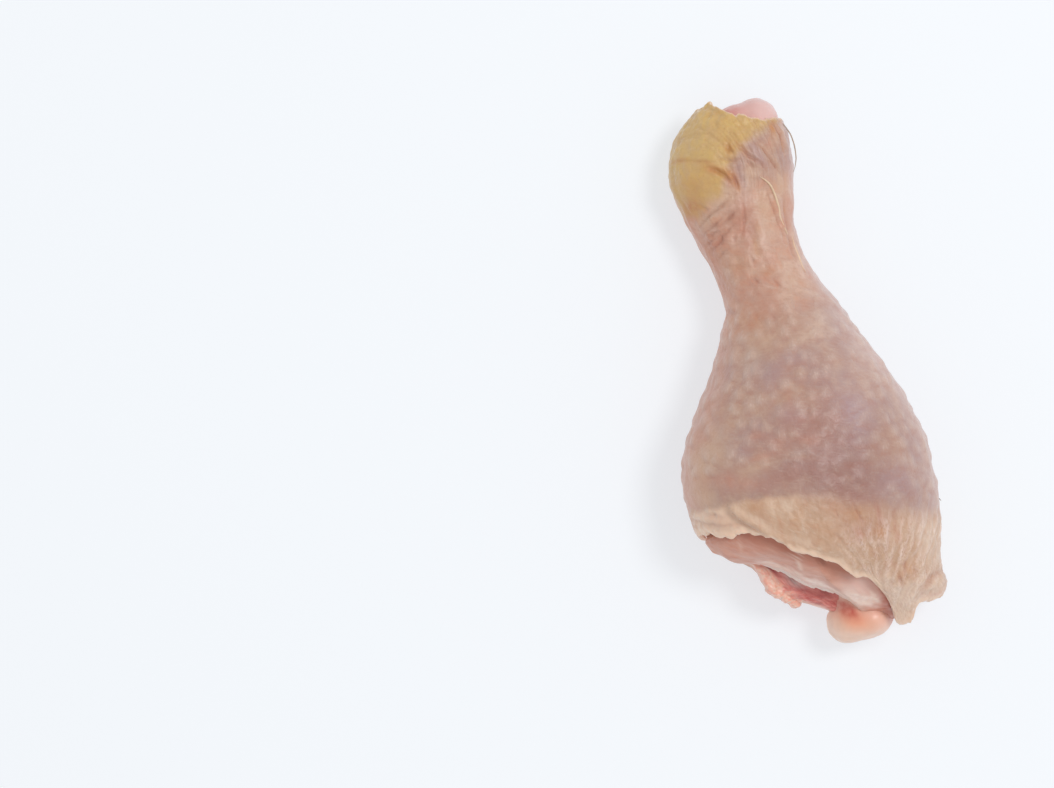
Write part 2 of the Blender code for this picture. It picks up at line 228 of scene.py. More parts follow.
def hashed(cells, seed):
    """A fixed number from 0 to 1 for each row of whole numbers."""
    mixed = np.full(cells.shape[:-1], 0x9E3779B1 * (seed + 1) & 0xFFFFFFFF, np.uint64)
    for axis in range(cells.shape[-1]):
        mixed ^= (cells[..., axis].astype(np.int64) & 0xFFFFFFFF).astype(np.uint64)
        mixed = (mixed * np.uint64(0x85EBCA6B)) & np.uint64(0xFFFFFFFF)
        mixed ^= mixed >> np.uint64(13)
        mixed = (mixed * np.uint64(0xC2B2AE35)) & np.uint64(0xFFFFFFFF)
        mixed ^= mixed >> np.uint64(16)
    return mixed / 4294967295.0


def noise(points, size, seed=0):
    """Smooth noise from about -1 to 1 whose lumps are size across. size may be one for each axis."""
    scaled = points / np.asarray(size, float)
    cell = np.floor(scaled).astype(int)
    inside = scaled - cell
    fade = inside**3 * (inside * (inside * 6 - 15) + 10)
    total = np.zeros(points.shape[:-1])
    dimensions = points.shape[-1]
    for corner in np.ndindex(*(2,) * dimensions):
        here = cell + corner
        reach = inside - corner
        dot = sum((2 * hashed(here, seed * 7 + axis) - 1) * reach[..., axis] for axis in range(dimensions))
        weight = np.prod(np.where(corner, fade, 1 - fade), axis=-1)
        total += dot * weight
    return total * 1.6


def rough(points, size, seed=0, octaves=3):
    """Noise with finer and fainter noise on it."""
    scale = np.asarray(size, float)
    return sum(noise(points, scale / 2**k, seed + 31 * k) / 2**k for k in range(octaves)) / 1.5


def bumps(u, v, spacing, seed):
    """For each point of a flat map, the way to the nearest point of a shaken honeycomb, and that
    point's own number from 0 to 1."""
    row = np.floor(v / (spacing * 0.87))
    best = np.full(u.shape, 1e9)
    du, dv, own = np.zeros_like(u), np.zeros_like(u), np.zeros_like(u)
    for r in (-1, 0, 1):
        this_row = row + r
        shift = 0.5 * (this_row % 2)
        column = np.floor(u / spacing - shift)
        for c in (-1, 0, 1):
            cell = np.stack([column + c, this_row], axis=-1)
            x = (column + c + shift + 0.5 + 0.65 * (hashed(cell, seed) - 0.5)) * spacing
            y = (this_row + 0.5 + 0.65 * (hashed(cell, seed + 1) - 0.5)) * spacing * 0.87
            d = (u - x) ** 2 + (v - y) ** 2
            nearer = d < best
            best = np.where(nearer, d, best)
            du, dv = np.where(nearer, u - x, du), np.where(nearer, v - y, dv)
            own = np.where(nearer, hashed(cell, seed + 2), own)
    return du, dv, own


def near_line(line, x, y):
    """The distance to a line of points seen from above, which side of it (positive on its left),
    and how far along it the nearest place is, from 0 to 1."""
    line = np.array(line, float)
    lengths = np.linalg.norm(np.diff(line, axis=0), axis=1)
    starts = np.concatenate([[0], np.cumsum(lengths)])
    best, side, along = np.full(x.shape, 1e9), np.zeros(x.shape), np.zeros(x.shape)
    for (ax, ay), (bx, by), length, start in zip(line, line[1:], lengths, starts):
        dx, dy = (bx - ax) / length, (by - ay) / length
        s = np.clip((x - ax) * dx + (y - ay) * dy, 0, length)
        ox, oy = x - ax - s * dx, y - ay - s * dy
        d = np.hypot(ox, oy)
        nearer = d < best
        best = np.where(nearer, d, best)
        side = np.where(nearer, np.sign((x - ax) * -dy + (y - ay) * dx), side)
        along = np.where(nearer, (start + s) / starts[-1], along)
    return best, side, along


def patch(x, y, centre, sizes, turn=0.0):
    """A soft oval patch: 1 at its centre, about 0.4 at its edge and 0 well outside it."""
    c, s = math.cos(math.radians(turn)), math.sin(math.radians(turn))
    dx, dy = x - centre[0], y - centre[1]
    return np.exp(-(((dx * c + dy * s) / sizes[0]) ** 2 + ((dy * c - dx * s) / sizes[1]) ** 2))


def as_seen(points):
    """Where the picture's camera sees points, as x and y."""
    grown = CAMERA_HEIGHT / (CAMERA_HEIGHT + PICTURE_LEVEL - points[..., 2])
    return [c + (points[..., k] - c) * grown for k, c in enumerate(PICTURE_CENTRE)]


def as_made(x, y, height):
    """The true x and y of what the picture's camera sees at (x, y), when it is at this height."""
    shrunk = (CAMERA_HEIGHT + PICTURE_LEVEL - height) / CAMERA_HEIGHT
    return [c + (value - c) * shrunk for value, c in zip((x, y), PICTURE_CENTRE)]


section = smooth_curve(SECTIONS)
split_curve = smooth_curve(SPLIT)


def split_at(y):
    return split_curve(y)[..., 0]


def bounds_at(y, inset):
    """The leg's left, right, low and high bounds at y, moved inwards square to the surface."""
    here, before, after = section(y), section(y - 0.5), section(y + 0.5)
    moved = np.asarray(inset, float)[..., None] * np.hypot(1, after - before) * (1, -1, 1, -1)
    left, right, low, high = np.moveaxis(here + moved, -1, 0)
    return np.minimum(left, right - 1), np.maximum(right, left + 1), low, high


def widest_height(y):
    low, high = section(y)[..., 2], section(y)[..., 3]
    return low + WIDEST_AT * (high - low)


def leg_point(angle, y, inset=0.0):
    """Points of the leg's surface. Angle 0 is its right side, 90 its top and 180 its left."""
    left, right, low, high = bounds_at(y, inset)
    middle = widest_height(y)
    c, s = np.cos(np.radians(angle)), np.sin(np.radians(angle))
    power = 2 / np.where(s > 0, POWER_ABOVE, POWER_BELOW)
    x = (left + right) / 2 + (right - left) / 2 * np.sign(c) * np.abs(c) ** power
    tall = np.maximum(0.3, np.where(s > 0, high - middle, middle - low))
    z = middle + tall * np.sign(s) * np.abs(s) ** power
    return np.stack([x, y + 0 * x, np.maximum(z, inset)], axis=-1)


def angle_of(x, y, inset=0.0):
    """The angle, from 0 to 180, of the place on the leg's upper side that is straight above (x, y)."""
    left, right, _, _ = bounds_at(y, inset)
    share = np.clip((x - (left + right) / 2) / ((right - left) / 2), -1, 1)
    return np.degrees(np.arccos(np.sign(share) * np.abs(share) ** (POWER_ABOVE / 2)))


def on_leg(x, y, lift=0.0, inset=0.0):
    """The place on the leg's upper side that the picture's camera sees at (x, y), and its angle."""
    seen_x, seen_y = x, y = np.array(x, float), np.array(y, float)
    for _ in range(5):
        angle = angle_of(x, y, inset)
        x, y = as_made(seen_x, seen_y, leg_point(angle, y, inset)[..., 2])
    point = leg_point(angle_of(x, y, inset), y, inset)
    point[..., 2] += lift
    return point, angle_of(x, y, inset)


def edge_by_angle(edge, below=None, inset=0.0, soft=1.2, height=None):
    """The y of an edge that is drawn in the picture, as a function of the angle round the leg. The
    edge lies on the leg's surface, or at a height of its own."""
    edge = np.array(edge, float)
    t = np.linspace(0, len(edge) - 1, 40 * len(edge))
    x, y = (np.interp(t, range(len(edge)), edge[:, k]) for k in (0, 1))
    inset = inset(x) if callable(inset) else inset + 0 * x
    if height is None:
        point, angle = on_leg(x, y, inset=inset)
        y = point[..., 1]
    else:
        x, y = as_made(x, y, height)
        angle = angle_of(x, y, inset)
    order = np.argsort(angle, kind="stable")
    angles = np.arange(0, 180.01, 0.5)
    on_top = np.interp(angles, angle[order], y[order])
    if below:
        low_angles = np.arange(180.5, 360, 0.5)
        underneath = smooth_curve(below)(low_angles)[:, 0]
        angles, on_top = np.concatenate([angles, low_angles]), np.concatenate([on_top, underneath])
    weights = np.exp(-(np.arange(-8, 9) * 0.5 / soft) ** 2)
    padded = np.pad(on_top, 8, mode="wrap" if below else "edge")
    blurred = np.convolve(padded, weights / weights.sum(), mode="valid")
    return lambda a: np.interp(a % 360 if below else a, angles, blurred, period=360 if below else None)


def leg_normal(angle, y):
    """Unit normals of the leg's plain surface."""
    across = leg_point(angle + 0.4, y) - leg_point(angle - 0.4, y)
    normal = np.cross(leg_point(angle, y + 0.3) - leg_point(angle, y - 0.3), across)
    return normal / np.maximum(np.linalg.norm(normal, axis=-1, keepdims=True), 1e-9)


def normals_of(grid, closed):
    """Unit normals of a grid of points. closed says that its last column meets its first."""
    if closed:
        across = np.roll(grid, -1, axis=1) - np.roll(grid, 1, axis=1)
    else:
        across = np.gradient(grid, axis=1)
    normal = np.cross(np.gradient(grid, axis=0), across)
    return normal / np.maximum(np.linalg.norm(normal, axis=-1, keepdims=True), 1e-9)


def facing(grid, sign):
    """Unit normals of an open grid of points, most of which point up (sign 1) or down (sign -1)."""
    normals = normals_of(grid, closed=False)
    return normals * sign * np.sign(np.median(normals[..., 2]))


def grid_faces(rows, columns, close_rows, close_columns):
    r = np.arange(rows if close_rows else rows - 1)[:, None]
    c = np.arange(columns if close_columns else columns - 1)[None, :]
    r2, c2 = (r + 1) % rows, (c + 1) % columns
    quads = [r * columns + c, r2 * columns + c, r2 * columns + c2, r * columns + c2]
    return np.stack([np.broadcast_to(q, (r.size, c.size)) for q in quads], axis=-1).reshape(-1, 4)


def build_mesh(name, points, faces, masks=None):
    """A smooth mesh object from points in millimetres, with a mask for each named attribute."""
    place = (points.reshape(-1, 3) - ORIGIN) * MM
    place[:, 2] = np.maximum(place[:, 2], 0.0)
    mesh = bpy.data.meshes.new(name)
    mesh.from_pydata(place.tolist(), [], faces.tolist() if hasattr(faces, "tolist") else faces)
    for mask_name, values in (masks or {}).items():
        attribute = mesh.attributes.new(mask_name, "FLOAT", "POINT")
        attribute.data.foreach_set("value", np.clip(values, 0, 1).astype(np.float32).ravel())
    shell = bmesh.new()
    shell.from_mesh(mesh)
    bmesh.ops.recalc_face_normals(shell, faces=shell.faces)
    shell.to_mesh(mesh)
    shell.free()
    mesh.shade_smooth()
    piece = bpy.data.objects.new(name, mesh)
    bpy.context.scene.collection.objects.link(piece)
    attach(piece, "root")
    return piece


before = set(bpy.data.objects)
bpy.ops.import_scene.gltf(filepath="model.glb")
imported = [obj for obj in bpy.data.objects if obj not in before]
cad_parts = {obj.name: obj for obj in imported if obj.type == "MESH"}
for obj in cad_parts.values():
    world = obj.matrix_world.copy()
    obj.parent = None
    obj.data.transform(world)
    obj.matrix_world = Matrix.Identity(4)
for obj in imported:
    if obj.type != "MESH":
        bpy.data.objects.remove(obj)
cad_low, cad_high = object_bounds()
skin_low, skin_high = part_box("skin")
widest = np.array(SECTIONS)
ORIGIN = np.array(
    [
        (widest[:, 1].min() + widest[:, 2].max()) / 2 - (skin_low[0] + skin_high[0]) / 2 / MM,
        68.2 - skin_high[1] / MM,
        0.0,
    ]
)


# ---- The skin ----

ACROSS_TOP, ACROSS_BELOW, SKIN_ROWS = 230, 96, 264

YELLOW_EDGE = [
    (-17.5, 43.6), (-14.4, 43.2), (-11.4, 42.6), (-9.0, 44.0), (-7.0, 45.6), (-5.0, 46.8), (-3.6, 48.2), (-2.4, 50.2),
    (-0.6, 52.6), (0.4, 55.2), (3.0, 57.2), (6.0, 59.0), (9.0, 60.2), (12.0, 61.6), (16, 63),
]
# Patches of colour on the skin, by the name of their mask: (strength, centre, sizes, turn).
SKIN_PATCHES = {
    "orange": [
        (1.0, (-12.2, 45.0), (3.0, 2.2), 0),
        (0.4, (-11.0, 50.0), (4.5, 4.5), 0),
        (1.0, (-4.4, 53.0), (2.8, 1.1), -32),
        (1.0, (-1.0, 50.4), (1.5, 2.4), 10),
        (0.6, (0.1, 47.4), (0.6, 1.6), 0),
        (1.0, (11.7, 60.3), (0.8, 1.7), 0),
        (0.8, (0.1, 57.4), (1.1, 1.6), 20),
        (0.6, (-12.6, 57.2), (2.4, 0.7), 0),
        (0.5, (-7.0, 55.8), (2.6, 0.5), -14),
        (0.5, (3.4, 56.4), (0.9, 2.4), 28),
        (0.5, (13.2, 56.0), (0.6, 4.0), 0),
        (0.5, (1.2, 32.0), (0.8, 2.2), 0),
        (0.35, (-4.0, 29.0), (3.0, 2.0), 0),
        (0.35, (3.0, 25.6), (2.4, 1.2), 0),
        (0.4, (2.8, 36.5), (0.7, 1.6), 0),
        (0.4, (10.3, 39.5), (0.5, 0.9), 0),
        (0.4, (-5.5, 14.5), (5.0, 3.0), 0),
        (0.55, (11.6, -38.6), (3.4, 2.0), 0),
        (0.6, (16.0, -44.0), (1.2, 2.0), 0),
        (0.35, (6.0, -36.0), (3.0, 1.6), 0),
        (0.3, (-13.0, -31.4), (3.0, 2.0), 0),
        (0.3, (-3.6, -36.5), (1.4, 2.4), -20),
        (0.5, (18.6, -56.0), (1.2, 2.0), 0),
        (0.5, (21.0, -54.4), (1.6, 2.2), 0),
        (0.3, (3.0, -41.0), (3.0, 3.0), 0),
    ],
    "flush": [
        (0.55, (-8.0, 35.6), (4.0, 3.0), 30),
        (0.4, (-2.0, 38.5), (2.4, 4.0), 0),
        (0.6, (-16.5, 1.0), (5.5, 2.2), 55),
        (0.65, (-20.5, -6.0), (5.0, 2.4), 50),
        (0.5, (-13.6, 7.5), (3.0, 1.6), 60),
        (0.5, (-22.0, -11.5), (3.0, 1.5), 30),
        (0.5, (-9.0, -14.0), (2.4, 1.0), 0),
        (0.5, (-9.0, -19.5), (5.0, 1.0), 5),
        (0.6, (-20.0, -22.6), (5.0, 1.6), -8),
        (0.5, (-15.0, -25.4), (6.0, 1.6), -5),
        (0.5, (4.0, -18.0), (3.0, 1.2), -15),
        (0.4, (1.2, -7.5), (1.0, 2.5), 0),
        (0.4, (-4.0, -16.6), (2.0, 1.6), 0),
        (0.6, (-9.0, 25.0), (1.2, 2.5), 0),
        (0.5, (-9.5, 31.0), (1.0, 3.0), 0),
        (0.6, (11.6, 39.5), (1.0, 4.0), 0),
        (0.5, (-7.4, 35.2), (3.2, 1.2), 25),
        (0.5, (0.0, 23.8), (1.8, 1.0), 0),
        (0.5, (-5.0, 21.6), (4.0, 2.0), 0),
        (0.4, (1.0, 17.0), (5.0, 2.5), 0),
        (0.5, (4.6, 22.0), (0.8, 1.2), 0),
        (0.5, (8.5, 32.0), (0.5, 1.2), 0),
        (0.6, (-0.9, 37.4), (0.8, 1.8), 0),
        (0.6, (0.2, 41.8), (0.7, 2.4), 0),
        (0.6, (10.2, 56.6), (1.0, 1.6), 0),
        (0.5, (13.6, 46.0), (0.7, 4.0), 0),
        (0.5, (11.0, -43.2), (1.3, 1.6), 0),
        (0.5, (20.0, -46.0), (0.8, 1.6), 0),
        (0.5, (16.8, -39.0), (0.7, 2.0), 0),
        (0.6, (26.4, -62.0), (3.0, 0.9), 0),
        (0.4, (28.8, -60.0), (0.8, 1.6), 0),
    ],
    "whitish": [
        (0.8, (21.0, -61.0), (9.0, 4.0), 0),
        (0.5, (12.0, -55.6), (3.0, 1.6), -35),
        (0.5, (27.0, -46.0), (3.0, 7.0), 10),
    ],
    "tan": [
        (0.8, (10.6, 46.5), (2.2, 5.0), 10),
        (0.8, (4.0, 51.0), (2.4, 3.0), 0),
        (0.5, (8.8, 54.6), (0.9, 3.6), 24),
        (0.5, (11.6, 57.6), (1.8, 3.0), 0),
        (0.7, (-2.6, 46.0), (3.0, 2.0), 20),
        (0.6, (5.0, 42.0), (2.6, 4.0), 0),
        (0.5, (-9.5, 41.0), (3.0, 1.5), 20),
        (0.5, (1.4, 31.0), (1.6, 4.0), 0),
        (0.5, (-4.0, 8.0), (6.0, 4.0), 0),
        (0.4, (4.0, 10.0), (4.0, 3.0), 0),
        (0.4, (-13.0, -9.0), (3.6, 2.6), 30),
        (0.5, (-25.0, -18.0), (3.0, 5.0), 10),
        (0.7, (-20.0, -14.0), (5.0, 8.0), 20),
        (0.9, (-25.5, -25.0), (4.0, 6.0), 0),
        (0.4, (-12.0, -23.0), (4.0, 3.0), 0),
        (0.4, (-7.0, -8.0), (3.0, 2.4), 0),
        (0.4, (22.0, 2.0), (2.0, 6.0), 20),
    ],
    "pale": [
        (0.7, (-5.0, 44.8), (3.6, 1.0), 36),
        (0.6, (-2.4, 47.0), (1.4, 1.6), 30),
        (0.5, (3.0, 48.6), (1.2, 3.0), 0),
        (0.6, (-8.5, 42.0), (3.0, 0.8), 30),
        (0.6, (4.6, 37.0), (2.2, 4.6), 0),
        (0.5, (-0.6, 27.0), (1.2, 1.6), 0),
        (0.35, (-4.0, 33.0), (1.2, 1.0), 0),
        (0.5, (8.0, 24.0), (2.4, 5.0), 10),
        (0.9, (10.9, 29.0), (0.4, 5.0), 6),
        (0.5, (6.0, 18.0), (3.0, 3.0), 0),
        (0.4, (-6.0, 4.0), (2.6, 2.6), 0),
        (0.4, (9.0, 7.0), (4.0, 3.0), 0),
        (0.6, (12.6, 10.0), (3.4, 5.0), 0),
        (0.45, (-26.0, -22.0), (3.0, 6.0), 0),
        (0.5, (-9.0, -21.4), (4.5, 0.9), 8),
        (0.4, (2.0, -21.6), (3.4, 0.8), -14),
        (0.8, (-26.6, -31.0), (1.8, 2.4), -15),
        (0.6, (-22.0, -31.0), (2.4, 1.0), -25),
        (0.6, (-13.6, -34.0), (5.0, 0.9), -42),
        (0.5, (-4.0, -41.8), (4.0, 0.9), -30),
        (0.7, (13.9, 58.4), (0.4, 3.4), -4),
        (0.4, (19.0, -62.0), (3.4, 3.0), 0),
    ],
    "purple": [
        (0.9, (16.6, -12.4), (5.0, 4.6), 0),
        (0.45, (16.5, -19.0), (5.0, 4.4), 0),
        (0.5, (24.0, -31.0), (6.0, 5.0), 0),
        (0.4, (-2.0, -0.5), (3.4, 2.4), 0),
        (0.35, (1.6, -10.6), (3.0, 2.0), 0),
        (0.3, (-13.0, -17.0), (2.4, 1.6), 0),
        (0.35, (4.0, 3.0), (3.4, 2.4), 0),
        (0.4, (6.6, 54.8), (1.2, 2.6), 26),
        (0.5, (-0.6, 53.4), (1.4, 0.9), 0),
        (0.3, (1.6, 50.0), (0.9, 3.0), 0),
        (0.25, (9.2, 49.4), (1.0, 3.4), 20),
        (0.5, (27.6, -44.0), (2.0, 3.0), 0),
    ],
    "rosy": [
        (0.9, (-2.5, -25.8), (9.0, 2.8), 0),
        (0.5, (1.0, -14.0), (6.0, 5.0), 0),
        (0.5, (9.0, -12.0), (5.0, 7.0), 0),
        (1.0, (11.0, -25.0), (8.0, 7.0), -10),
        (0.8, (10.5, -17.0), (8.0, 6.0), 0),
        (0.6, (13.0, -30.0), (7.0, 4.0), -10),
        (0.5, (0.5, 38.0), (3.4, 12.0), 0),
        (0.4, (10.0, -42.5), (7.0, 3.0), -15),
        (0.5, (1.0, -12.0), (3.0, 3.0), 0),
        (0.6, (7.0, -36.0), (5.0, 2.6), -15),
        (0.5, (16.0, -41.5), (6.0, 3.6), -10),
        (0.8, (12.6, -34.0), (5.0, 2.6), -20),
        (0.5, (-9.0, -16.0), (5.0, 4.0), 0),
        (0.3, (4.0, 2.0), (8.0, 6.0), 0),
        (0.3, (1.0, 15.0), (6.0, 8.0), 0),
        (0.5, (-21.5, -23.5), (5.0, 2.4), 0),
    ],
}


def ring_angles():
    """Angles round the leg, evenly spaced along its thickest ring and closer on its upper side."""
    fine = np.linspace(0, 360, 2881)
    ring = leg_point(fine, np.full_like(fine, -25.0))
    length = np.concatenate([[0], np.cumsum(np.linalg.norm(np.diff(ring, axis=0), axis=1))])
    half = length[1440]
    top = np.linspace(0, half, ACROSS_TOP, endpoint=False)
    below = np.linspace(half, length[-1], ACROSS_BELOW, endpoint=False)
    return np.interp(np.concatenate([top, below]), length, fine)


def lines(place, size, seed, thin=2.2):
    """Thin wandering lines, 1 along them and 0 away from them."""
    return smoothstep(0.5, 1.0, 1 - np.abs(noise(place, size, seed)) * thin)


def skin_relief(points, normals, arc):
    """How far the skin stands out of the plain leg, and the masks that colour it."""
    (x, y), z = as_seen(points), points[..., 2]
    up = smoothstep(-0.15, 0.3, normals[..., 2])
    fat_gap, fat_side, _ = near_line(FAT_LINE, x, y)
    fat_gap = -fat_gap * fat_side  # positive towards the knee
    wander = 0.9 * noise(points, 3.0, 5)
    turned = smoothstep(-36, -46, y + 2.5 * noise(points, 5.0, 8))  # the underside has its fat nearer the rim
    left_part, right_part = smoothstep(0, -12, x), smoothstep(6, 18, x)
    rim_gap, _, _ = near_line(SKIN_KNEE_EDGE[:27], x, y)
    softer = smoothstep(-6, 4, x) + right_part
    cream = up * smoothstep(-0.8 - 0.8 * softer, 1.4 + 1.9 * softer, fat_gap + wander) + (1 - up) * turned
    fold_gap, fold_side, _ = near_line(FLAP_FOLD, x, y)
    in_lobe = up * smoothstep(-6.5, -9.0, x) * smoothstep(-28.8, -30.4, y) * smoothstep(-0.1, 0.45, -fold_gap * fold_side)
    flap_lip = up * np.exp(-(((fold_gap - 0.9) / 0.9) ** 2)) * (fold_side > 0) * smoothstep(-29.5, -31.5, y)
    near_fold = in_lobe * np.exp(-((fold_gap / 2.6) ** 2))

    relief = 0.55 * rough(points, (13, 20, 13), 1) + 0.25 * noise(points, (5, 6, 5), 2)
    relief += (0.3 + 0.25 * left_part) * cream - 0.1 * in_lobe - 1.2 * near_fold + 0.5 * flap_lip
    relief -= up * (0.04 + 0.22 * left_part) * np.exp(-((fat_gap / 0.6) ** 2)) * smoothstep(24, 12, x)
    relief += in_lobe * (0.6 * noise(points, (3.4, 2.6, 3.4), 6) + 0.25 * noise(points, (1.4, 1.1, 1.4), 7))
    relief += cream * (1 - right_part) * (0.22 * noise(points, (2.4, 2.0, 2.4), 9) + 0.12 * noise(points, 1.0, 10))

    # Follicles: soft pale spots that stand up a little, each with a slight dip and a painted rosy shade on the knee
    # side.
    du, dv, own = bumps(arc + 1.0 * noise(points, 8, 8), y + 1.0 * noise(points, 6, 9), 5.2, 3)
    smooth_patch = patch(x, y, (-3, -26.0), (12, 4.0)) * up
    body = smoothstep(42, 28, y) * smoothstep(-32.5, -27.5, y + 0.30 * x * up)
    neck = smoothstep(12, 24, y)
    strength = body * (1 - 0.6 * neck) * (1 - 0.95 * smooth_patch) * (1 - 0.85 * cream) * smoothstep(-0.1, 0.55, own)
    across = 1.4 + 0.5 * own
    spot = np.exp(-((du / across) ** 2 + (dv / 1.6) ** 2))
    shade = np.exp(-((du / 1.5) ** 2 + ((dv + 1.8) / 0.9) ** 2))
    relief += strength * (0.34 * spot - 0.10 * shade)
    follicle = strength * spot
    follicle_painted_shade = strength * shade

    # Fine crosswise lines between the follicles.
    sloped = np.stack([x - 0.35 * y, y + 0.10 * x, z], axis=-1)
    cross = lines(sloped, (5.5, 1.35, 4.5), 14, 2.6) * body * (1 - spot) * smoothstep(-0.5, 0.5, noise(points, 8, 18) + 0.3)
    relief -= 0.04 * cross

    # Lengthwise strands fan out from the gathered corner of the thick skin.
    gather = smoothstep(2, 15, x) * smoothstep(-34, -43, y) * up + 0.7 * (1 - up) * smoothstep(-30, -42, y)
    right = -arc
    fan = np.where(right > 12, (right - 12) * 25 / np.maximum(8, y + 74), (right - 12) * 0.9)
    strand = np.stack([fan, y, 0 * y], axis=-1)
    wavy = strand + 0.5 * noise(points, 4.0, 26)[..., None]
    relief += gather * (0.26 * noise(wavy, (1.4, 8, 1), 11) + 0.10 * noise(wavy, (0.75, 4.5, 1), 12) + 0.18 * noise(points, 2.2, 27))
    gather_line = lines(wavy, (1.8, 7.0, 1), 13, 2.8) * gather
    relief -= 0.12 * gather_line
    puckers = patch(x, y, (20, -57), (5, 5)) * up
    relief += puckers * 0.55 * noise(points, (1.7, 2.4, 1.7), 19)

    # The neck's wrinkles, and the ankle's curved ones round its pad.
    on_neck = smoothstep(18, 30, y) * smoothstep(47, 42, y)
    neck_line = lines(np.stack([x + 0.5 * y, y - 0.4 * x, z], axis=-1), (4.4, 2.2, 3.5), 15) * on_neck * 0.4
    relief += on_neck * (0.45 * noise(points, (3.6, 5.5, 3.6), 20) + 0.10 * noise(points, (1.3, 2.4, 1.3), 21)) - 0.10 * neck_line
    ankle = smoothstep(42, 50, y)
    pad = np.hypot(x + 9.5, (y - 51.5) * 0.8)
    round_pad = np.stack([pad, np.arctan2(y - 51.5, x + 9.5) * 5, z * 0.3], axis=-1)
    pad_line = lines(round_pad, (1.5, 6.0, 4.0), 16) * ankle * smoothstep(5.5, 9, pad) * up
    relief -= 0.18 * pad_line
    relief += ankle * (0.20 * noise(points, 2.2, 22) + 0.10 * noise(points, (2.6, 0.9, 2.6), 17) + 0.08 * noise(points, 0.9, 23))
    relief += 0.8 * patch(x, y, (-9.5, 50.5), (6.0, 5.2)) * up
    relief += 0.25 * noise(points, 1.5, 28) * smoothstep(59, 63, y + 0.3 * x) * up

    # The crease mask colours the skin's folds and lines: partly their own redder tone, partly painted shade in the
    # hollows.
    crease_tone_and_painted_shade = 0.35 * gather_line * smoothstep(30, 20, x) + 0.4 * neck_line + 0.3 * pad_line + 0.3 * cross
    for depth, width, line in [*WRINKLES, (0.20, 0.45, ARCH_CREASE), (0.3, 0.8, NECK_CREASE)]:
        gap, _, along = near_line(line, x, y)
        gap = gap + 0.25 * noise(points, 1.8, 24)
        fade = np.sin(np.pi * np.clip(along, 0.04, 0.96)) ** 0.6 * up
        groove = np.exp(-((gap / width) ** 2)) * fade
        relief -= depth * groove
        relief += 0.4 * depth * np.exp(-(((gap - 2.2 * width) / width) ** 2)) * fade
        crease_tone_and_painted_shade = crease_tone_and_painted_shade + min(1.0, depth * 1.9) * groove
    # Painted shade along the foot of the flap's fold.
    crease_tone_and_painted_shade = crease_tone_and_painted_shade + 0.5 * up * np.exp(-(((fold_gap + 0.2) / 0.5) ** 2)) * smoothstep(-30, -32, y)

    for height, width, line in [(0.3, 0.5, TENDON), (0.3, 0.5, LOW_STREAK), (0.5, 0.6, EDGE_FOLD)]:
        gap, _, along = near_line(line, x, y)
        relief += height * np.exp(-((gap / width) ** 2)) * np.sin(np.pi * np.clip(along, 0.05, 0.95)) ** 0.5 * up
    relief += 0.5 * patch(x, y, (7.2, 53.2), (1.3, 3.6), 22) * up
    relief += 1.3 * patch(x, y, (26.0, -60.2), (3.6, 2.5)) * up

    mottle = rough(points, 4.0, 25)
    yellow_gap, yellow_side, _ = near_line(YELLOW_EDGE, x, y)
    yellow = up * smoothstep(-1.8, 2.0, yellow_gap * yellow_side + 1.2 * mottle)
    yellow = yellow + (1 - up) * smoothstep(45, 55, y + 3 * mottle) * smoothstep(8, 0, x)
    side = smoothstep(0.75, 0.1, normals[..., 2])
    masks = {
        "cream": cream,
        "lobe": in_lobe,
        "yellow": yellow,
        "follicle": follicle,
        "follicle_painted_shade": follicle_painted_shade,
        "crease_tone_and_painted_shade": crease_tone_and_painted_shade,
        # strand: pale streaks on the thick skin, lightest on the raised ridges as a painted highlight
        "strand": gather * (0.35 + 1.3 * noise(wavy, (1.4, 8, 1), 11)),
        "neck": smoothstep(6, 20, y - 0.25 * x) * smoothstep(52, 44, y),
        # left and right: painted glow where the sides turn down, as if lit from below: warmer on the left, whiter on
        # the right. right also holds a painted pool of light over the body's upper right.
        "left": side * smoothstep(5, -5, x),
        "right": side * smoothstep(-2, 8, x) + 0.4 * up * smoothstep(8, 24, x) * smoothstep(20, 8, y) * smoothstep(-14, -2, y),
        # painted shade: a broad darker patch over the body's right middle
        "painted_shade_patch": up * patch(x, y, (12.0, -27.0), (12.0, 13.0)),
        # rim: the cut edge's own pale colour, with a painted highlight where its thick lip catches the light
        "rim": up * smoothstep(1.5, 0.3, rim_gap + 0.5 * noise(points, 1.6, 29)) * smoothstep(14.5, 12.5, x),
    }
    for name, patches in SKIN_PATCHES.items():
        masks[name] = sum(strength * patch(x, y, *spot) for strength, *spot in patches) * up
    masks["follicle"] *= 1 - 0.55 * np.clip(masks["rosy"], 0, 1)
    return relief, masks


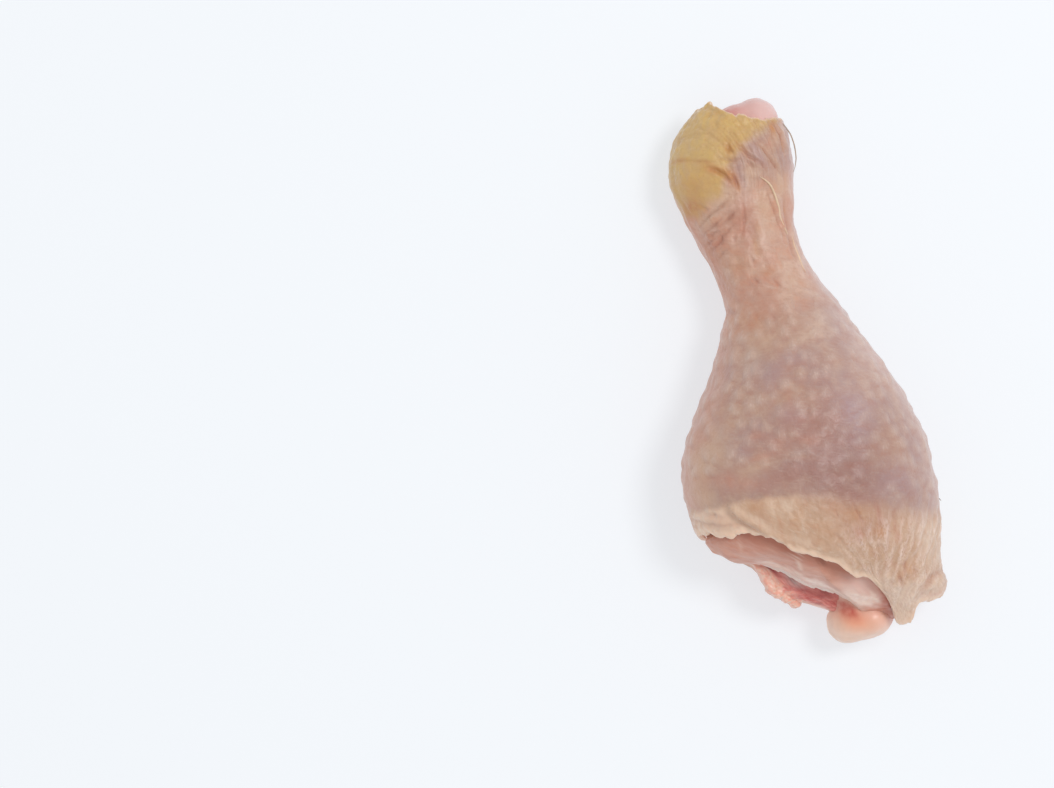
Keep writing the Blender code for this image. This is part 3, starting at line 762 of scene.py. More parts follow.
def make_skin():
    angles = ring_angles()[None, :]
    knee = edge_by_angle(SKIN_KNEE_EDGE, SKIN_KNEE_BELOW)(angles)
    hock = edge_by_angle(SKIN_HOCK_EDGE, SKIN_HOCK_BELOW)(angles)
    at_knee, at_hock = leg_point(angles, knee), leg_point(angles, hock)
    knee = knee + 0.5 * noise(at_knee, 2.4, 41) + 0.25 * noise(at_knee, 1.1, 42)
    hock = hock + 0.25 * noise(at_hock, 1.6, 43) + 0.12 * noise(at_hock, 0.8, 44)
    spread = np.exp(-((np.arange(-40, 41) / 18) ** 2))
    even = np.convolve(np.tile(knee[0], 3), spread / spread.sum(), mode="same")[knee.size : 2 * knee.size]
    along = np.linspace(0, 1, SKIN_ROWS)[:, None] * (hock - even)
    y = even + along + (knee - even) * np.clip(1 - along / 17, 0, 1) ** 2
    plain = leg_point(angles + 0 * y, y)
    normals = leg_normal(angles + 0 * y, y)
    steps = np.linalg.norm(np.roll(plain, -1, axis=1) - plain, axis=-1)
    arc = np.cumsum(steps, axis=1) - steps
    top = np.argmin(np.abs(angles[0] - 90))
    arc -= arc[:, top : top + 1]
    arc = np.where(angles > 270, arc - steps.sum(axis=1, keepdims=True), arc)
    relief, masks = skin_relief(plain, normals, arc)
    outer = plain + normals * relief[..., None]

    thick = SKIN + 0.7 * smoothstep(-30, -50, y[0]) * smoothstep(170, 120, np.abs(angles[0]))
    radius = thick[:, None] / 2

    def rim(row, inside):
        """A half circle of rows over the skin's cut edge, from its outside to its inside."""
        out, normal = outer[row], normals[row]
        along = out - outer[inside]
        along /= np.linalg.norm(along, axis=-1, keepdims=True)
        turns = np.radians([36, 72, 108, 144])
        return [out - normal * radius * (1 - np.cos(t)) + along * radius * np.sin(t) for t in turns]

    places = [0, 0.012, 0.03, 0.06, *np.linspace(0.1, 0.5, 6), *np.linspace(0.55, 0.95, 13), 0.975, 0.99, 1]
    inner_rows = ((SKIN_ROWS - 1) * np.array(places)).astype(int)[::-1]
    knee_rim, hock_rim = rim(0, 6)[::-1], rim(-1, -7)
    inside = [outer[r] - normals[r] * 2 * radius for r in inner_rows]
    grid = np.stack([*outer, *hock_rim, *inside, *knee_rim])
    source = np.concatenate([range(SKIN_ROWS), [SKIN_ROWS - 1] * len(hock_rim), inner_rows, [0] * len(knee_rim)])
    masks = {name: (mask + 0 * y)[source] for name, mask in masks.items()}
    masks["cut"] = np.zeros(grid.shape[:2])
    masks["cut"][SKIN_ROWS:] = 1.0
    masks["cut"][:5] = np.array([1.0, 0.85, 0.6, 0.35, 0.15])[:, None]
    faces = grid_faces(len(grid), grid.shape[1], True, True)
    piece = build_mesh("chicken_skin", grid, faces, masks)
    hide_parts("skin")
    return piece


# ---- The layers of flesh that show at the knee ----


def layer_map(edge_y, hock_end, columns, face, face_rows, far_rows, low_angle):
    """The angle and y of every point of a layer as seen from above, and its distance from the
    layer's edge at the knee. Its rows are close together over the rounded face."""
    turn = np.linspace(0, np.pi / 2, face_rows)
    near = face * (1 - np.cos(turn))
    share = np.linspace(0, 1, columns)[None, :]
    y = np.full((face_rows + far_rows, columns), hock_end)
    for _ in range(6):
        low = low_angle(y)
        angle = low + share * (180 - 2 * low)
        start = edge_y(angle)
        rest = np.linspace(0, 1, far_rows + 1)[1:, None] ** 1.3
        back = start[:face_rows] + near[:, None]
        far = start[face_rows:] + face + rest * (hock_end - start[face_rows:] - face)
        y = np.concatenate([back, far])
    return angle, y, y - start


def height_angle(y, height, inset):
    """The angle, from 0 to 90, at which the inset leg is this high on its right side."""
    high, middle = bounds_at(y, inset)[3], widest_height(y)
    share = np.clip((height - middle) / np.maximum(0.3, high - middle), 0, 0.96)
    return np.degrees(np.arcsin(share ** (POWER_ABOVE / 2)))


def closed_layer(name, top, bottom, masks):
    """A closed mesh between two grids of points, one above the other."""
    rows, columns = top.shape[:2]
    count = rows * columns
    number = np.arange(count).reshape(rows, columns)
    upper = grid_faces(rows, columns, False, False)
    lower = upper[:, ::-1] + count
    rings = [number[:, 0][::-1], number[:, -1], number[0], number[-1][::-1]]
    sides = [np.stack([r[:-1], r[1:], r[1:] + count, r[:-1] + count], axis=-1) for r in rings]
    faces = np.concatenate([upper, lower, *sides])
    both = {key: np.concatenate([value.ravel(), value.ravel()]) for key, value in masks.items()}
    return build_mesh(name, np.concatenate([top.reshape(-1, 3), bottom.reshape(-1, 3)]), faces, both)


def make_pale_muscle():
    # The muscle bulges out past the skin's cut edge on its left.
    edge = edge_by_angle(PALE_EDGE, inset=lambda x: 2.15 - 2.3 * smoothstep(-19, -25, x), height=23.0)
    low = lambda y: height_angle(y, split_at(y), FLESH_INSET)
    angle, y, back = layer_map(edge, HOCK_ENDS["pale"], 240, PALE_FACE, 44, 26, low)
    inset = FLESH_INSET + 0.3 + 1.6 * smoothstep(1.2 * PALE_FACE, 2.6 * PALE_FACE, back)
    inset -= 2.7 * smoothstep(138, 164, angle) * smoothstep(-34.0, -37.5, y)
    top = leg_point(angle, y, inset)
    floor = split_at(y)
    share = np.sqrt(1 - (1 - np.clip(back / PALE_FACE, 0, 1)) ** 2)
    top[..., 2] = floor + np.maximum(0.35, (top[..., 2] - floor) * share)
    x, seen_y = as_seen(top)
    bottom = np.stack([top[..., 0], y, floor], axis=-1)
    normals = facing(top, 1)
    shown = smoothstep(PALE_FACE * 1.6, PALE_FACE, back)
    lumpy = smoothstep(5, 8, x) * smoothstep(-56.5, -58.5, seen_y)
    relief = 0.25 * rough(top, (7, 3, 3), 51) + lumpy * 0.5 * noise(top, (3.2, 2.6, 2.6), 52)
    relief -= 0.08 * smoothstep(0.5, 1, 1 - np.abs(noise(top, (7.0, 0.9, 1.2), 53)) * 2)
    tendon_gap, _, _ = near_line([(-5.3, -44.4), (-5.5, -46.5), (-5.2, -48.8)], x, seen_y)
    relief += 0.2 * np.exp(-((tendon_gap / 0.45) ** 2))
    relief *= smoothstep(0, 1.2, back) * shown
    top += normals * relief[..., None]
    rim, _, _ = near_line(SKIN_KNEE_EDGE, x, seen_y)
    band = smoothstep(3.6, 1.0, y - edge(angle) + 1.2 * noise(top, 2.2, 54)) * smoothstep(-17, -12, x) * smoothstep(6, 3, x)
    masks = {
        "fatty": band + 1.2 * patch(x, seen_y, (6.4, -59.4), (4.0, 2.3), -40)
        + 0.9 * patch(x, seen_y, (11.0, -60.4), (2.6, 2.0)) + 0.5 * lumpy * noise(top, 1.8, 55),
        "lilac": patch(x, seen_y, (8.6, -56.0), (4.2, 1.8), -18),
        "pale_line": np.exp(-((tendon_gap / 0.5) ** 2)) + 0.5 * patch(x, seen_y, (-18.8, -39.5), (0.4, 2.2)),
        "shade": np.exp(-((rim / 2.5) ** 2)) * smoothstep(9, 5, x) * (1 - 0.5 * smoothstep(-17, -20, x)),
        "red": 0.9 * patch(x, seen_y, (13.6, -62.5), (1.3, 4.5), 8) + 0.5 * patch(x, seen_y, (10.5, -63.0), (3.0, 1.4)),
        # line: painted shadow, a thin dark line on the muscle just under the skin's cut edge
        "line": np.exp(-((rim / 0.45) ** 2)) * smoothstep(5, 8, x),
    }
    piece = closed_layer("pale_muscle_cut", top, bottom, masks)
    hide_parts("pale_muscle")
    return piece


def make_fat():
    plain_edge = edge_by_angle(FAT_EDGE, inset=FLESH_INSET, soft=0.6, height=22.0)
    steps = np.arange(0, 181, 0.25)
    at_edge = leg_point(steps, plain_edge(steps), FLESH_INSET + 0 * steps)
    ragged = plain_edge(steps) + 0.4 * noise(at_edge, 1.5, 61) + 0.25 * noise(at_edge, 0.7, 62)
    edge = lambda angle: np.interp(angle, steps, ragged)
    low = lambda y: height_angle(y, split_at(y) - 0.35, FLESH_INSET)
    angle, y, back = layer_map(edge, HOCK_ENDS["fat"], 300, 6.0, 30, 22, low)
    x = leg_point(angle, y, FLESH_INSET + 1.6 * smoothstep(6, 16, back))[..., 0]
    droop = 0.35 * np.maximum(0, 3.2 - back) + 0.3 * noise(np.stack([x, y], axis=-1), 3.0, 63) * smoothstep(4, 1, back)
    height = split_at(y) - 0.35 - droop + 0.15 * noise(np.stack([x, y], axis=-1), 0.9, 64) * smoothstep(5, 2, back)
    thick = 0.5 + 1.1 * smoothstep(0, 3.0, back)
    thick *= np.sqrt(np.clip(back / 0.5, 0.02, 1))
    top = np.stack([x, y, height + 0.0], axis=-1)
    bottom = np.stack([x, y, height - thick], axis=-1)
    masks = {"edge": smoothstep(2.5, 0.2, back)}
    piece = closed_layer("fat_ledge", top, bottom, masks)
    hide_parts("fat_sheet")
    return piece


# The fringe of small pink lumps on the red muscle's left side, and the line that bounds it.
FRINGE_LINE = [(-15.4, -45.0), (-13.8, -47.2), (-12.0, -49.4), (-10.6, -51.8), (-9.6, -53.6), (-8.8, -55.2), (-6.6, -56.6), (-6.0, -57.6)]
FRINGE_LUMPS = [
    (1.0, (-15.0, -47.4)), (0.8, (-14.6, -49.6)), (0.9, (-13.0, -51.4)), (0.9, (-12.2, -53.8)), (0.8, (-10.4, -55.0)),
    (1.0, (-8.2, -57.2)), (0.7, (-9.0, -55.8)), (0.7, (-13.8, -52.6)),
]


def make_red_muscle():
    edge = edge_by_angle(RED_EDGE, inset=FLESH_INSET, soft=0.8, height=12.0)
    angle, y, back = layer_map(edge, HOCK_ENDS["red"], 280, RED_FACE, 44, 26, lambda y: 0 * y)
    middle = widest_height(y) - 1.0
    inset = FLESH_INSET + 1.6 * smoothstep(-36, -26, y) - 0.6 * smoothstep(-45, -40, y)
    inset = inset + 0.9 * smoothstep(145, 165, angle) * smoothstep(-51, -47, y) * smoothstep(-40, -45, y)
    upper, lower = leg_point(angle, y, inset), leg_point(360 - angle, y, inset)
    ceiling = split_at(y) - 2.3
    share = np.sqrt(1 - (1 - np.clip(back / RED_FACE, 0, 1)) ** 2)
    top, bottom = upper.copy(), lower.copy()
    top[..., 2] = middle + np.maximum(0.05, (np.minimum(upper[..., 2], ceiling) - middle) * share)
    bottom[..., 2] = middle - np.maximum(0.05, (middle - lower[..., 2]) * share)
    bottom[..., 0] = top[..., 0]
    x, seen_y = as_seen(top)
    along = np.stack([top[..., 0] * 0.79 - top[..., 1] * 0.62, top[..., 0] * 0.62 + top[..., 1] * 0.79, top[..., 2]], axis=-1)
    fringe_gap, fringe_side, _ = near_line(FRINGE_LINE, x, seen_y)
    fringe = smoothstep(-0.9, 0.9, -fringe_gap * fringe_side + 1.1 * noise(top, 1.8, 76)) * smoothstep(-5.5, -7.0, x)
    meat = 0.35 * rough(top, 3.4, 71) + 0.22 * noise(along, (3.0, 1.1, 1.1), 72)
    meat += fringe * (0.3 * noise(top, 1.5, 77) + 0.15 * noise(top, 0.7, 78))
    meat += sum(height * patch(x, seen_y, place, (1.1, 1.0)) for height, place in FRINGE_LUMPS)
    strips = 0.25 * smoothstep(0.4, 1, 1 - np.abs(noise(top, (6, 1.6, 1.6), 73)) * 2)
    for grid, sign in ((top, 1), (bottom, -1)):
        normals = facing(grid, sign)
        normals[..., 2] *= smoothstep(0, 2.5, np.abs(grid[..., 2] - middle))
        grid += normals * ((meat - strips) * smoothstep(0, 1.0, back) * smoothstep(16, 9, back))[..., None]
    masks = {
        "fringe": fringe,
        "pink": smoothstep(2.4, 0.6, back + 0.8 * noise(top, 2.0, 74)) * smoothstep(2.5, -1, x),
        # painted shade just under the fat ledge's edge, with darker red fibre streaks of the meat's own
        "deep_red_and_painted_shade": 1.0 * patch(x, seen_y, (-11.6, -47.8), (1.7, 0.7), -30) + 0.8 * patch(x, seen_y, (-5.4, -54.1), (1.8, 0.9), -25)
        + 0.7 * patch(x, seen_y, (-1.0, -56.2), (3.4, 1.2), -28) + 0.3 * smoothstep(0.2, 0.7, noise(along, (3.0, 1.2, 1.2), 75)),
        "grey": patch(x, seen_y, (-7.8, -51.6), (2.6, 1.0), -42),
        "brown": 0.7 * patch(x, seen_y, (4.4, -61.4), (1.0, 2.0), 30),
    }
    piece = closed_layer("red_muscle_cut", top, bottom, masks)
    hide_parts("red_muscle")
    return piece


# ---- The cartilage ----


def lobed_body(centre, ovals, seed, fineness=5, roughness=((0.22, 3.2), (0.07, 1.1)), blend=0.8):
    """A rounded body made of ovals that melt together. Each is (centre, radii) and holds the
    body's own centre."""
    ball = bmesh.new()
    bmesh.ops.create_icosphere(ball, subdivisions=fineness, radius=1.0)
    ball.verts.ensure_lookup_table()
    ways = np.array([v.co for v in ball.verts])
    ways /= np.linalg.norm(ways, axis=1, keepdims=True)
    faces = np.array([[v.index for v in f.verts] for f in ball.faces])
    ball.free()
    centre = np.array(centre, float)
    reach = []
    for middle, radii in ovals:
        radii = np.array(radii, float)
        start, way = (centre - middle) / radii, ways / radii
        a = (way**2).sum(axis=1)
        b = (way @ start)
        c = (start**2).sum() - 1
        inside = b**2 - a * c
        reach.append(np.where(inside > 0, (-b + np.sqrt(np.maximum(inside, 0))) / a, 0))
    reach = np.array(reach)
    distance = blend * np.log(np.exp(reach / blend).sum(axis=0))
    points = centre + ways * distance[:, None]
    for k, (height, size) in enumerate(roughness):
        points += ways * (height * noise(points, size, seed + k))[:, None]
    return points, faces


KNEE_CENTRE = (7.4, -64.0, 10.8)
KNEE_OVALS = [
    ((6.6, -64.6, 11.5), (7.6, 5.4, 8.8)),
    ((3.9, -65.6, 10.4), (4.8, 4.5, 6.8)),
    ((10.4, -64.8, 12.0), (5.2, 4.8, 8.6)),
    ((8.0, -57.0, 12.0), (7.5, 9.0, 8.0)),
]
ANKLE_CENTRE = (5.5, 59.5, 12.4)
ANKLE_OVALS = [
    ((9.0, 62.6, 12.6), (5.3, 6.3, 7.2)),
    ((2.6, 62.0, 12.8), (5.2, 6.2, 7.0)),
    ((5.6, 62.0, 12.8), (5.0, 6.2, 7.0)),
    ((1.0, 56.6, 11.4), (11.4, 7.8, 9.6)),
]


def make_cartilage():
    points, faces = lobed_body(KNEE_CENTRE, KNEE_OVALS, seed=81, roughness=((0.35, 3.6), (0.10, 1.2)))
    x, y = as_seen(points)
    masks = {
        "orange": patch(x, y, (5.0, -64.4), (3.6, 2.6), -20) + 0.4 * patch(x, y, (9.0, -66.5), (3.0, 2.4)),
        "red": 1.3 * patch(x, y, (3.8, -61.2), (3.6, 1.9), -50) + 0.7 * patch(x, y, (14.2, -65.0), (1.2, 2.8)),
        "pink": patch(x, y, (10.4, -63.6), (3.6, 2.2)) + 0.6 * patch(x, y, (11.5, -67.0), (3.0, 2.0)),
    }
    knee = build_mesh("knee_cartilage", points, faces, masks)
    points, faces = lobed_body(ANKLE_CENTRE, ANKLE_OVALS, seed=91)
    x, y = as_seen(points)
    masks = {
        "orange": 0 * x,
        "red": patch(x, y, (2.2, 66.4), (3.2, 1.6)) + 0.5 * smoothstep(64.0, 62.0, y + 0.3 * (x - 8)),
        "pink": patch(x, y, (11.6, 65.4), (3.6, 3.6)),
    }
    ankle = build_mesh("ankle_cartilage", points, faces, masks)
    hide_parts("shin_bone")
    return knee, ankle


def tube(name, line, radii, rings=60, sides=10):
    """A tapering thread along a smooth line of (x, y, z) points, closed to a point at each end."""
    line = np.array(line, float)
    t = np.linspace(0, len(line) - 1, rings)
    path = smooth_curve([(i, *p) for i, p in enumerate(line)])(t)
    ahead = np.gradient(path, axis=0)
    ahead /= np.linalg.norm(ahead, axis=1, keepdims=True)
    side = np.cross(ahead, (0, 0, 1.0))
    side /= np.linalg.norm(side, axis=1, keepdims=True)
    above = np.cross(side, ahead)
    radius = np.interp(t / (len(line) - 1), np.linspace(0, 1, len(radii)), radii)[:, None, None]
    turn = np.linspace(0, 2 * np.pi, sides, endpoint=False)[None, :, None]
    grid = path[:, None] + radius * (np.cos(turn) * side[:, None] + np.sin(turn) * above[:, None])
    faces = grid_faces(rings, sides, False, True).tolist()
    faces += [list(range(sides))[::-1], list(range((rings - 1) * sides, rings * sides))]
    return build_mesh(name, grid, faces)


# ---- Materials ----


class Finish:
    """A material under construction. Each method adds a node and returns its output socket."""

    def __init__(self, name, roughness, subsurface, radius, coat=0.0):
        self.material = bpy.data.materials.new(name)
        self.material.use_nodes = True
        self.nodes, self.links = self.material.node_tree.nodes, self.material.node_tree.links
        self.shader = self.nodes["Principled BSDF"]
        self.place = self.nodes.new("ShaderNodeTexCoord").outputs["Object"]
        inputs = self.shader.inputs
        inputs["Roughness"].default_value = roughness
        inputs["Subsurface Weight"].default_value = subsurface
        inputs["Subsurface Radius"].default_value = radius
        inputs["Subsurface Scale"].default_value = MM
        inputs["Coat Weight"].default_value = coat
        inputs["Coat Roughness"].default_value = 0.25

    def put(self, socket, value):
        if isinstance(value, bpy.types.NodeSocket):
            self.links.new(value, socket)
        elif isinstance(value, tuple) and len(value) == 3 and socket.type == "RGBA":
            socket.default_value = (*value, 1.0)
        else:
            socket.default_value = value

    def mask(self, name):
        node = self.nodes.new("ShaderNodeAttribute")
        node.attribute_name = name
        return node.outputs["Fac"]

    def part(self, name, share):
        """The named mask times a number or another output."""
        return self.math("MULTIPLY", self.mask(name), share)

    def noise(self, size, detail=3.0, roughness=0.55, distortion=0.0, stretch=(1.0, 1.0, 1.0), turn=0.0):
        """Noise whose lumps are size millimetres across, longer by stretch along each axis. turn
        is how many degrees its first axis turns from +X towards +Y."""
        turned = self.nodes.new("ShaderNodeMapping")
        turned.inputs["Rotation"].default_value = (0, 0, math.radians(-turn))
        self.links.new(self.place, turned.inputs["Vector"])
        mapping = self.nodes.new("ShaderNodeMapping")
        self.links.new(turned.outputs["Vector"], mapping.inputs["Vector"])
        mapping.inputs["Scale"].default_value = tuple(1 / (size * MM * s) for s in stretch)
        node = self.nodes.new("ShaderNodeTexNoise")
        self.links.new(mapping.outputs["Vector"], node.inputs["Vector"])
        node.inputs["Scale"].default_value = 1.0
        node.inputs["Detail"].default_value = detail
        node.inputs["Roughness"].default_value = roughness
        node.inputs["Distortion"].default_value = distortion
        return node.outputs["Fac"]

    def spread(self, value, low, high, to_low=0.0, to_high=1.0):
        node = self.nodes.new("ShaderNodeMapRange")
        for key, number in (("From Min", low), ("From Max", high), ("To Min", to_low), ("To Max", to_high)):
            node.inputs[key].default_value = number
        self.links.new(value, node.inputs["Value"])
        return node.outputs["Result"]

    def math(self, operation, a, b):
        node = self.nodes.new("ShaderNodeMath")
        node.operation = operation
        self.put(node.inputs[0], a)
        self.put(node.inputs[1], b)
        return node.outputs["Value"]

    def mix(self, factor, a, b, blend="MIX"):
        node = self.nodes.new("ShaderNodeMix")
        node.data_type = "RGBA"
        node.blend_type = blend
        node.clamp_factor = True
        self.put(node.inputs[0], factor)
        self.put(node.inputs[6], a)
        self.put(node.inputs[7], b)
        return node.outputs[2]

    def bump(self, height, depth, normal=None):
        """Raises the surface by up to depth millimetres where height is 1."""
        node = self.nodes.new("ShaderNodeBump")
        node.inputs["Distance"].default_value = depth * MM
        node.inputs["Strength"].default_value = 1.0
        self.links.new(height, node.inputs["Height"])
        if normal:
            self.links.new(normal, node.inputs["Normal"])
        return node.outputs["Normal"]

    def dress(self, piece, colour, normal, roughness=None):
        self.put(self.shader.inputs["Base Color"], colour)
        self.links.new(normal, self.shader.inputs["Normal"])
        if roughness:
            self.links.new(roughness, self.shader.inputs["Roughness"])
        piece.data.materials.append(self.material)


LIT = 0.88  # the share of full light that falls on a face that looks up
BRIGHTEST = 0.92  # no base colour goes above this


def looks(red, green, blue):
    """The base colour that comes out as this 8-bit colour on a face that looks up."""
    values = (value / 255 for value in (red, green, blue))
    base = [(v / 12.92 if v < 0.04045 else ((v + 0.055) / 1.055) ** 2.4) / LIT for v in values]
    return tuple(v * min(1.0, BRIGHTEST / max(base)) for v in base)


def finish_skin(piece):
    f = Finish("raw_skin", 0.40, 0.22, (0.9, 0.65, 0.5), coat=0.06)
    f.shader.inputs["Sheen Weight"].default_value = 0.45
    f.shader.inputs["Sheen Roughness"].default_value = 0.28
    f.shader.inputs["Sheen Tint"].default_value = (1.0, 0.93, 0.91, 1)
    broad, middle, fine = f.noise(9.0, 4), f.noise(3.4, 5, distortion=0.5), f.noise(1.3, 4)
    grain = f.noise(0.6, 3, 0.6)
    brushed = f.noise(0.55, 4, 0.6, distortion=0.4, stretch=(5, 1, 1), turn=-18)
    scratched = f.noise(0.42, 3, 0.6, distortion=0.3, stretch=(1, 5, 1), turn=-4)
    colour = f.mix(f.spread(broad, 0.38, 0.62), looks(168, 137, 130), looks(180, 143, 124))
    colour = f.mix(f.spread(middle, 0.50, 0.72, 0, 0.55), colour, looks(166, 124, 114))
    colour = f.mix(f.spread(middle, 0.48, 0.28, 0, 0.5), colour, looks(194, 166, 148))
    colour = f.mix(f.part("neck", 0.8), colour, looks(199, 157, 135))
    colour = f.mix(f.part("neck", f.spread(middle, 0.48, 0.66, 0, 0.6)), colour, looks(198, 138, 110))
    colour = f.mix(f.part("neck", f.spread(middle, 0.46, 0.32, 0, 0.6)), colour, looks(214, 180, 162))
    colour = f.mix(f.part("pale", f.spread(fine, 0.3, 0.7, 0.5, 1.0)), colour, looks(210, 182, 160))
    colour = f.mix(f.part("tan", 0.9), colour, looks(200, 165, 137))
    colour = f.mix(f.part("rosy", f.spread(middle, 0.3, 0.7, 0.5, 1.0)), colour, looks(164, 120, 108))
    colour = f.mix(f.part("purple", f.spread(fine, 0.3, 0.7, 0.55, 1.0)), colour, looks(174, 147, 150))
    # Painted glow on the sides: warm on the left, whiter on the right, with a painted pool of light over the upper
    # right.
    colour = f.mix(f.part("left", 0.7), colour, looks(205, 150, 128))
    colour = f.mix(f.part("right", 0.75), colour, looks(205, 178, 172))
    colour = f.mix(f.spread(brushed, 0.54, 0.74, 0, 0.32), colour, looks(166, 116, 102))
    colour = f.mix(f.spread(brushed, 0.44, 0.28, 0, 0.22), colour, looks(206, 180, 164))
    cream = f.mix(f.spread(broad, 0.38, 0.62), looks(194, 158, 130), looks(205, 172, 146))
    streaky = f.noise(2.0, 5, distortion=0.6, stretch=(1, 2.5, 1))
    wisps = f.noise(0.55, 4, 0.6, distortion=0.5, stretch=(5, 1, 1), turn=-42)
    cream = f.mix(f.spread(streaky, 0.5, 0.72, 0, 0.7), cream, looks(190, 142, 112))
    cream = f.mix(f.spread(streaky, 0.47, 0.3, 0, 0.6), cream, looks(218, 192, 170))
    cream = f.mix(f.spread(wisps, 0.56, 0.74, 0, 0.5), cream, looks(186, 144, 118))
    cream = f.mix(f.spread(wisps, 0.44, 0.28, 0, 0.4), cream, looks(222, 198, 176))
    # Pale streaks, lightest on the strand ridges as a painted highlight.
    cream = f.mix(f.part("strand", f.spread(scratched, 0.38, 0.58)), cream, looks(226, 202, 188))
    cream = f.mix(f.part("lobe", 0.8), cream, looks(220, 186, 162))
    cream = f.mix(f.part("pale", 0.7), cream, looks(226, 200, 178))
    cream = f.mix(f.part("whitish", 0.55), cream, looks(226, 206, 190))
    cream = f.mix(f.part("rosy", 0.7), cream, looks(182, 138, 118))
    colour = f.mix(f.part("cream", 0.94), colour, cream)
    yellow = f.mix(f.spread(middle, 0.35, 0.65), looks(198, 163, 114), looks(204, 169, 106))
    yellow = f.mix(f.spread(fine, 0.52, 0.75, 0, 0.5), yellow, looks(210, 180, 132))
    yellow = f.mix(f.spread(broad, 0.5, 0.7, 0, 0.5), yellow, looks(190, 148, 90))
    yellow = f.mix(f.spread(grain, 0.55, 0.75, 0, 0.4), yellow, looks(180, 138, 82))
    colour = f.mix(f.mask("yellow"), colour, yellow)
    colour = f.mix(f.part("orange", f.spread(fine, 0.3, 0.7, 0.55, 1.0)), colour, looks(188, 128, 78))
    colour = f.mix(f.part("flush", f.spread(fine, 0.3, 0.7, 0.55, 1.0)), colour, looks(190, 132, 110))
    colour = f.mix(f.part("follicle", 0.42), colour, looks(200, 174, 160))
    colour = f.mix(f.part("follicle", f.spread(scratched, 0.52, 0.66, 0, 0.4)), colour, looks(214, 192, 180))
    # Painted shade on the knee side of each follicle.
    colour = f.mix(f.part("follicle_painted_shade", 0.35), colour, looks(170, 118, 102))
    # Crease colour: the folds' own redder tone, with painted shade in the hollows.
    fold_colour_and_painted_shade = f.mix(f.mask("yellow"), looks(166, 108, 88), looks(170, 122, 70))
    # Painted shade: darkens a broad patch over the body's right middle.
    colour = f.mix(f.part("painted_shade_patch", 0.9), colour, (0.80, 0.78, 0.80), "MULTIPLY")
    colour = f.mix(f.part("crease_tone_and_painted_shade", 0.6), colour, fold_colour_and_painted_shade)
    # The cut edge's pale colour, with a painted highlight on its thick lip.
    colour = f.mix(f.part("rim", 0.7), colour, looks(230, 200, 174))
    colour = f.mix(f.part("cut", 0.75), colour, looks(230, 198, 174))
    normal = f.bump(f.noise(1.7, 5, 0.55, distortion=0.5), 0.20)
    normal = f.bump(grain, 0.06, normal)
    normal = f.bump(f.math("ADD", brushed, scratched), 0.06, normal)
    f.dress(piece, colour, normal, f.spread(f.noise(2.5, 3), 0.3, 0.7, 0.32, 0.48))


def finish_pale(piece):
    f = Finish("pale_raw_muscle", 0.34, 0.24, (1.3, 0.7, 0.5), coat=0.15)
    fibres = f.noise(1.8, 4, stretch=(3, 1, 1), turn=-27)
    fine = f.noise(1.2, 4)
    colour = f.mix(f.spread(fibres, 0.35, 0.7), looks(196, 138, 118), looks(208, 158, 138))
    colour = f.mix(f.part("shade", 0.8), colour, looks(172, 100, 76))
    colour = f.mix(f.part("lilac", 0.85), colour, looks(220, 184, 174))
    colour = f.mix(f.part("fatty", f.spread(fine, 0.3, 0.6, 0.7, 1.0)), colour, looks(242, 216, 202))
    colour = f.mix(f.part("red", 0.85), colour, looks(190, 118, 102))
    # Painted shadow: a thin dark line just under the skin's cut edge.
    colour = f.mix(f.part("line", 0.7), colour, looks(168, 92, 76))
    colour = f.mix(f.part("pale_line", 0.7), colour, looks(220, 190, 174))
    normal = f.bump(f.noise(1.0, 4, stretch=(3, 1, 1), turn=-27), 0.10)
    f.dress(piece, colour, normal)


def finish_fat(piece):
    f = Finish("raw_fat", 0.38, 0.10, (0.6, 0.5, 0.4), coat=0.1)
    colour = f.mix(f.spread(f.noise(1.6, 4), 0.35, 0.65), looks(242, 212, 198), looks(250, 232, 222))
    normal = f.bump(f.noise(0.8, 4), 0.14)
    f.dress(piece, colour, normal)


def finish_red(piece):
    f = Finish("red_raw_muscle", 0.28, 0.20, (1.1, 0.5, 0.4), coat=0.3)
    wet = f.noise(1.3, 5, distortion=0.5, stretch=(3, 1, 1), turn=-38)
    specks = f.noise(0.9, 4, distortion=0.6)
    colour = f.mix(f.spread(wet, 0.35, 0.65), looks(192, 88, 80), looks(226, 148, 136))
    colour = f.mix(f.part("pink", 0.85), colour, looks(236, 196, 180))
    # Painted shade under the fat ledge, and darker red streaks of the meat.
    colour = f.mix(f.part("deep_red_and_painted_shade", 0.9), colour, looks(152, 42, 38))
    colour = f.mix(f.part("brown", 0.8), colour, looks(176, 88, 70))
    colour = f.mix(f.part("grey", 0.85), colour, looks(196, 172, 166))
    fringe = f.mix(f.spread(specks, 0.38, 0.62), looks(234, 172, 150), looks(246, 212, 192))
    fringe = f.mix(f.spread(wet, 0.52, 0.68, 0, 0.75), fringe, looks(220, 138, 120))
    colour = f.mix(f.part("fringe", 0.92), colour, fringe)
    normal = f.bump(f.noise(0.9, 4, stretch=(2, 1, 1), turn=-38), 0.22)
    f.dress(piece, colour, normal)


def finish_cartilage(piece, plain, orange, red, pink):
    f = Finish(f"{piece.name}_finish", 0.34, 0.22, (1.2, 0.9, 0.75), coat=0.16)
    colour = f.mix(f.spread(f.noise(3.0, 4), 0.35, 0.65), plain, tuple(0.92 * c for c in plain))
    colour = f.mix(f.part("pink", 0.85), colour, pink)
    colour = f.mix(f.part("orange", 0.9), colour, orange)
    colour = f.mix(f.part("red", f.spread(f.noise(1.6, 4), 0.3, 0.7, 0.6, 1.0)), colour, red)
    normal = f.bump(f.noise(1.3, 3), 0.08)
    f.dress(piece, colour, normal)


def finish_thread(piece, colour):
    f = Finish(f"{piece.name}_finish", 0.35, 0.08, (0.5, 0.4, 0.35))
    paler = tuple(0.85 * c for c in colour)
    f.dress(piece, f.mix(f.spread(f.noise(2.0, 3), 0.3, 0.7), colour, paler), f.bump(f.noise(0.8, 3), 0.04))


# ---- The scene ----


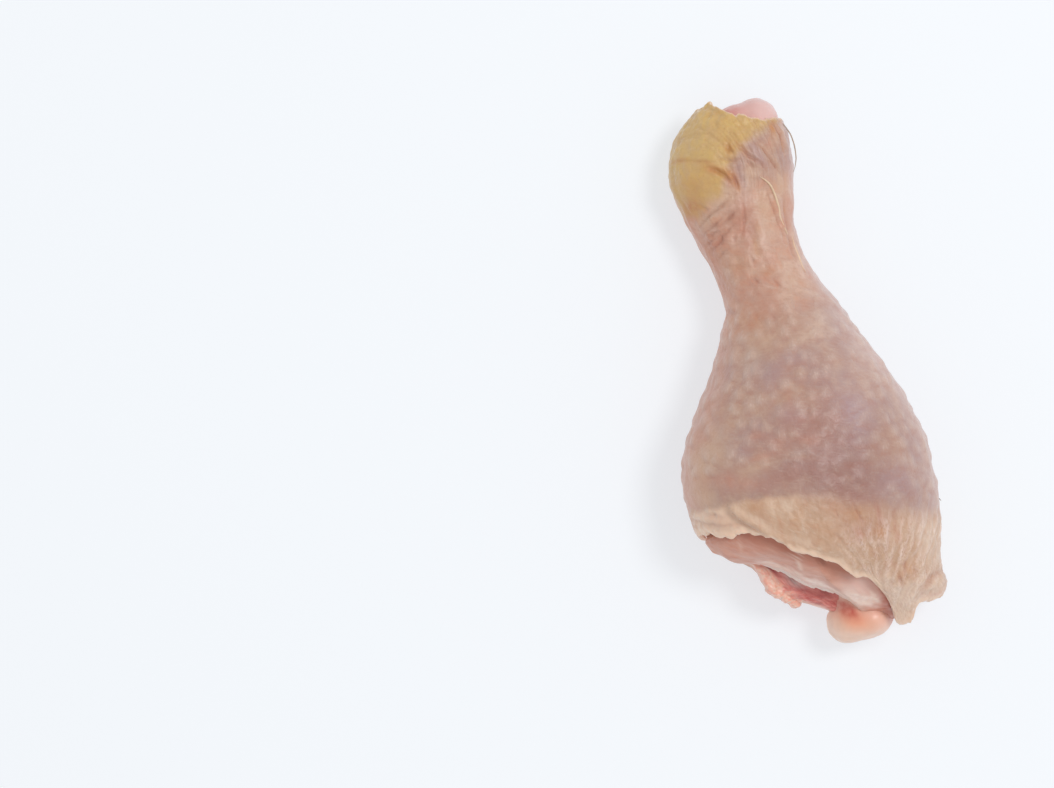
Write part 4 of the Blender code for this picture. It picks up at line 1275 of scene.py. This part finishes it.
def make_stage():
    """A pale floor that glows a little, as a light table does."""
    mesh = bpy.data.meshes.new("floor")
    mesh.from_pydata([(-3, -3, -0.0001), (3, -3, -0.0001), (3, 3, -0.0001), (-3, 3, -0.0001)], [], [(0, 1, 2, 3)])
    floor = bpy.data.objects.new("floor", mesh)
    bpy.context.scene.collection.objects.link(floor)
    material = bpy.data.materials.new("pale_floor")
    material.use_nodes = True
    shader = material.node_tree.nodes["Principled BSDF"]
    shader.inputs["Base Color"].default_value = (0.36, 0.37, 0.38, 1)
    shader.inputs["Roughness"].default_value = 0.8
    shader.inputs["Specular IOR Level"].default_value = 0.1
    shader.inputs["Emission Color"].default_value = (0.93, 0.96, 1.0, 1)
    shader.inputs["Emission Strength"].default_value = 0.62
    mesh.materials.append(material)
    floor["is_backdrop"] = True


def make_light():
    world = bpy.data.worlds.new("studio")
    world.use_nodes = True
    background = world.node_tree.nodes["Background"]
    background.inputs["Color"].default_value = (0.97, 0.985, 1.0, 1)
    background.inputs["Strength"].default_value = 0.66
    bpy.context.scene.world = world
    light = bpy.data.lights.new("key", "AREA")
    light.shape, light.size, light.energy = "DISK", 0.30, 3.9
    lamp = bpy.data.objects.new("key", light)
    lamp.location = (0.40, 0.14, 0.98)
    lamp.rotation_euler = (-lamp.location).to_track_quat("-Z", "Y").to_euler()
    bpy.context.scene.collection.objects.link(lamp)


def make_camera():
    camera = bpy.data.cameras.new("camera")
    camera.sensor_width = 36.0
    camera.lens = 36.0 * CAMERA_HEIGHT / PICTURE_WIDTH
    camera.clip_start, camera.clip_end = 0.05, 20
    holder = bpy.data.objects.new("camera", camera)
    holder.location = (Vector((*PICTURE_CENTRE, CAMERA_HEIGHT + PICTURE_LEVEL)) - Vector(ORIGIN)) * MM
    holder.rotation_euler = (0, 0, math.radians(PICTURE_TURN))
    bpy.context.scene.collection.objects.link(holder)
    bpy.context.scene.camera = holder


finish_skin(make_skin())
finish_pale(make_pale_muscle())
finish_fat(make_fat())
finish_red(make_red_muscle())
knee, ankle = make_cartilage()
finish_cartilage(knee, looks(240, 204, 182), looks(230, 162, 130), looks(188, 86, 70), looks(228, 182, 166))
finish_cartilage(ankle, looks(217, 172, 164), looks(217, 172, 164), looks(200, 130, 120), looks(218, 182, 176))

tendon = tube("tendon_strand", [on_leg(x, y, 0.45)[0] for x, y in TENDON], (0.08, 0.27, 0.29, 0.25, 0.08))
finish_thread(tendon, looks(222, 194, 164))
streak = tube("low_tendon_strand", [on_leg(x, y, 0.2)[0] for x, y in LOW_STREAK], (0.05, 0.22, 0.24, 0.05))
finish_thread(streak, looks(226, 192, 162))
loose = [(*as_made(x, y, height), height) for (x, y), height in zip(LOOSE, (14.5, 14.5, 14.2, 13.8, 13.4, 13.0, 13.0))]
finish_thread(tube("loose_filament", loose, (0.08, 0.16, 0.16, 0.13, 0.05)), looks(176, 156, 138))
feather = [(*as_made(x, y, 19.0), 19.0) for x, y in FINE_FEATHER]
finish_thread(tube("fine_feather", feather, (0.10, 0.12, 0.03), rings=20), looks(132, 104, 88))

bpy.context.scene.view_settings.view_transform = "Standard"
make_stage()
make_light()
make_camera()
bpy.context.view_layer.update()
low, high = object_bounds()
{"cad": [list(cad_low), list(cad_high)], "visual": [list(low), list(high)]}
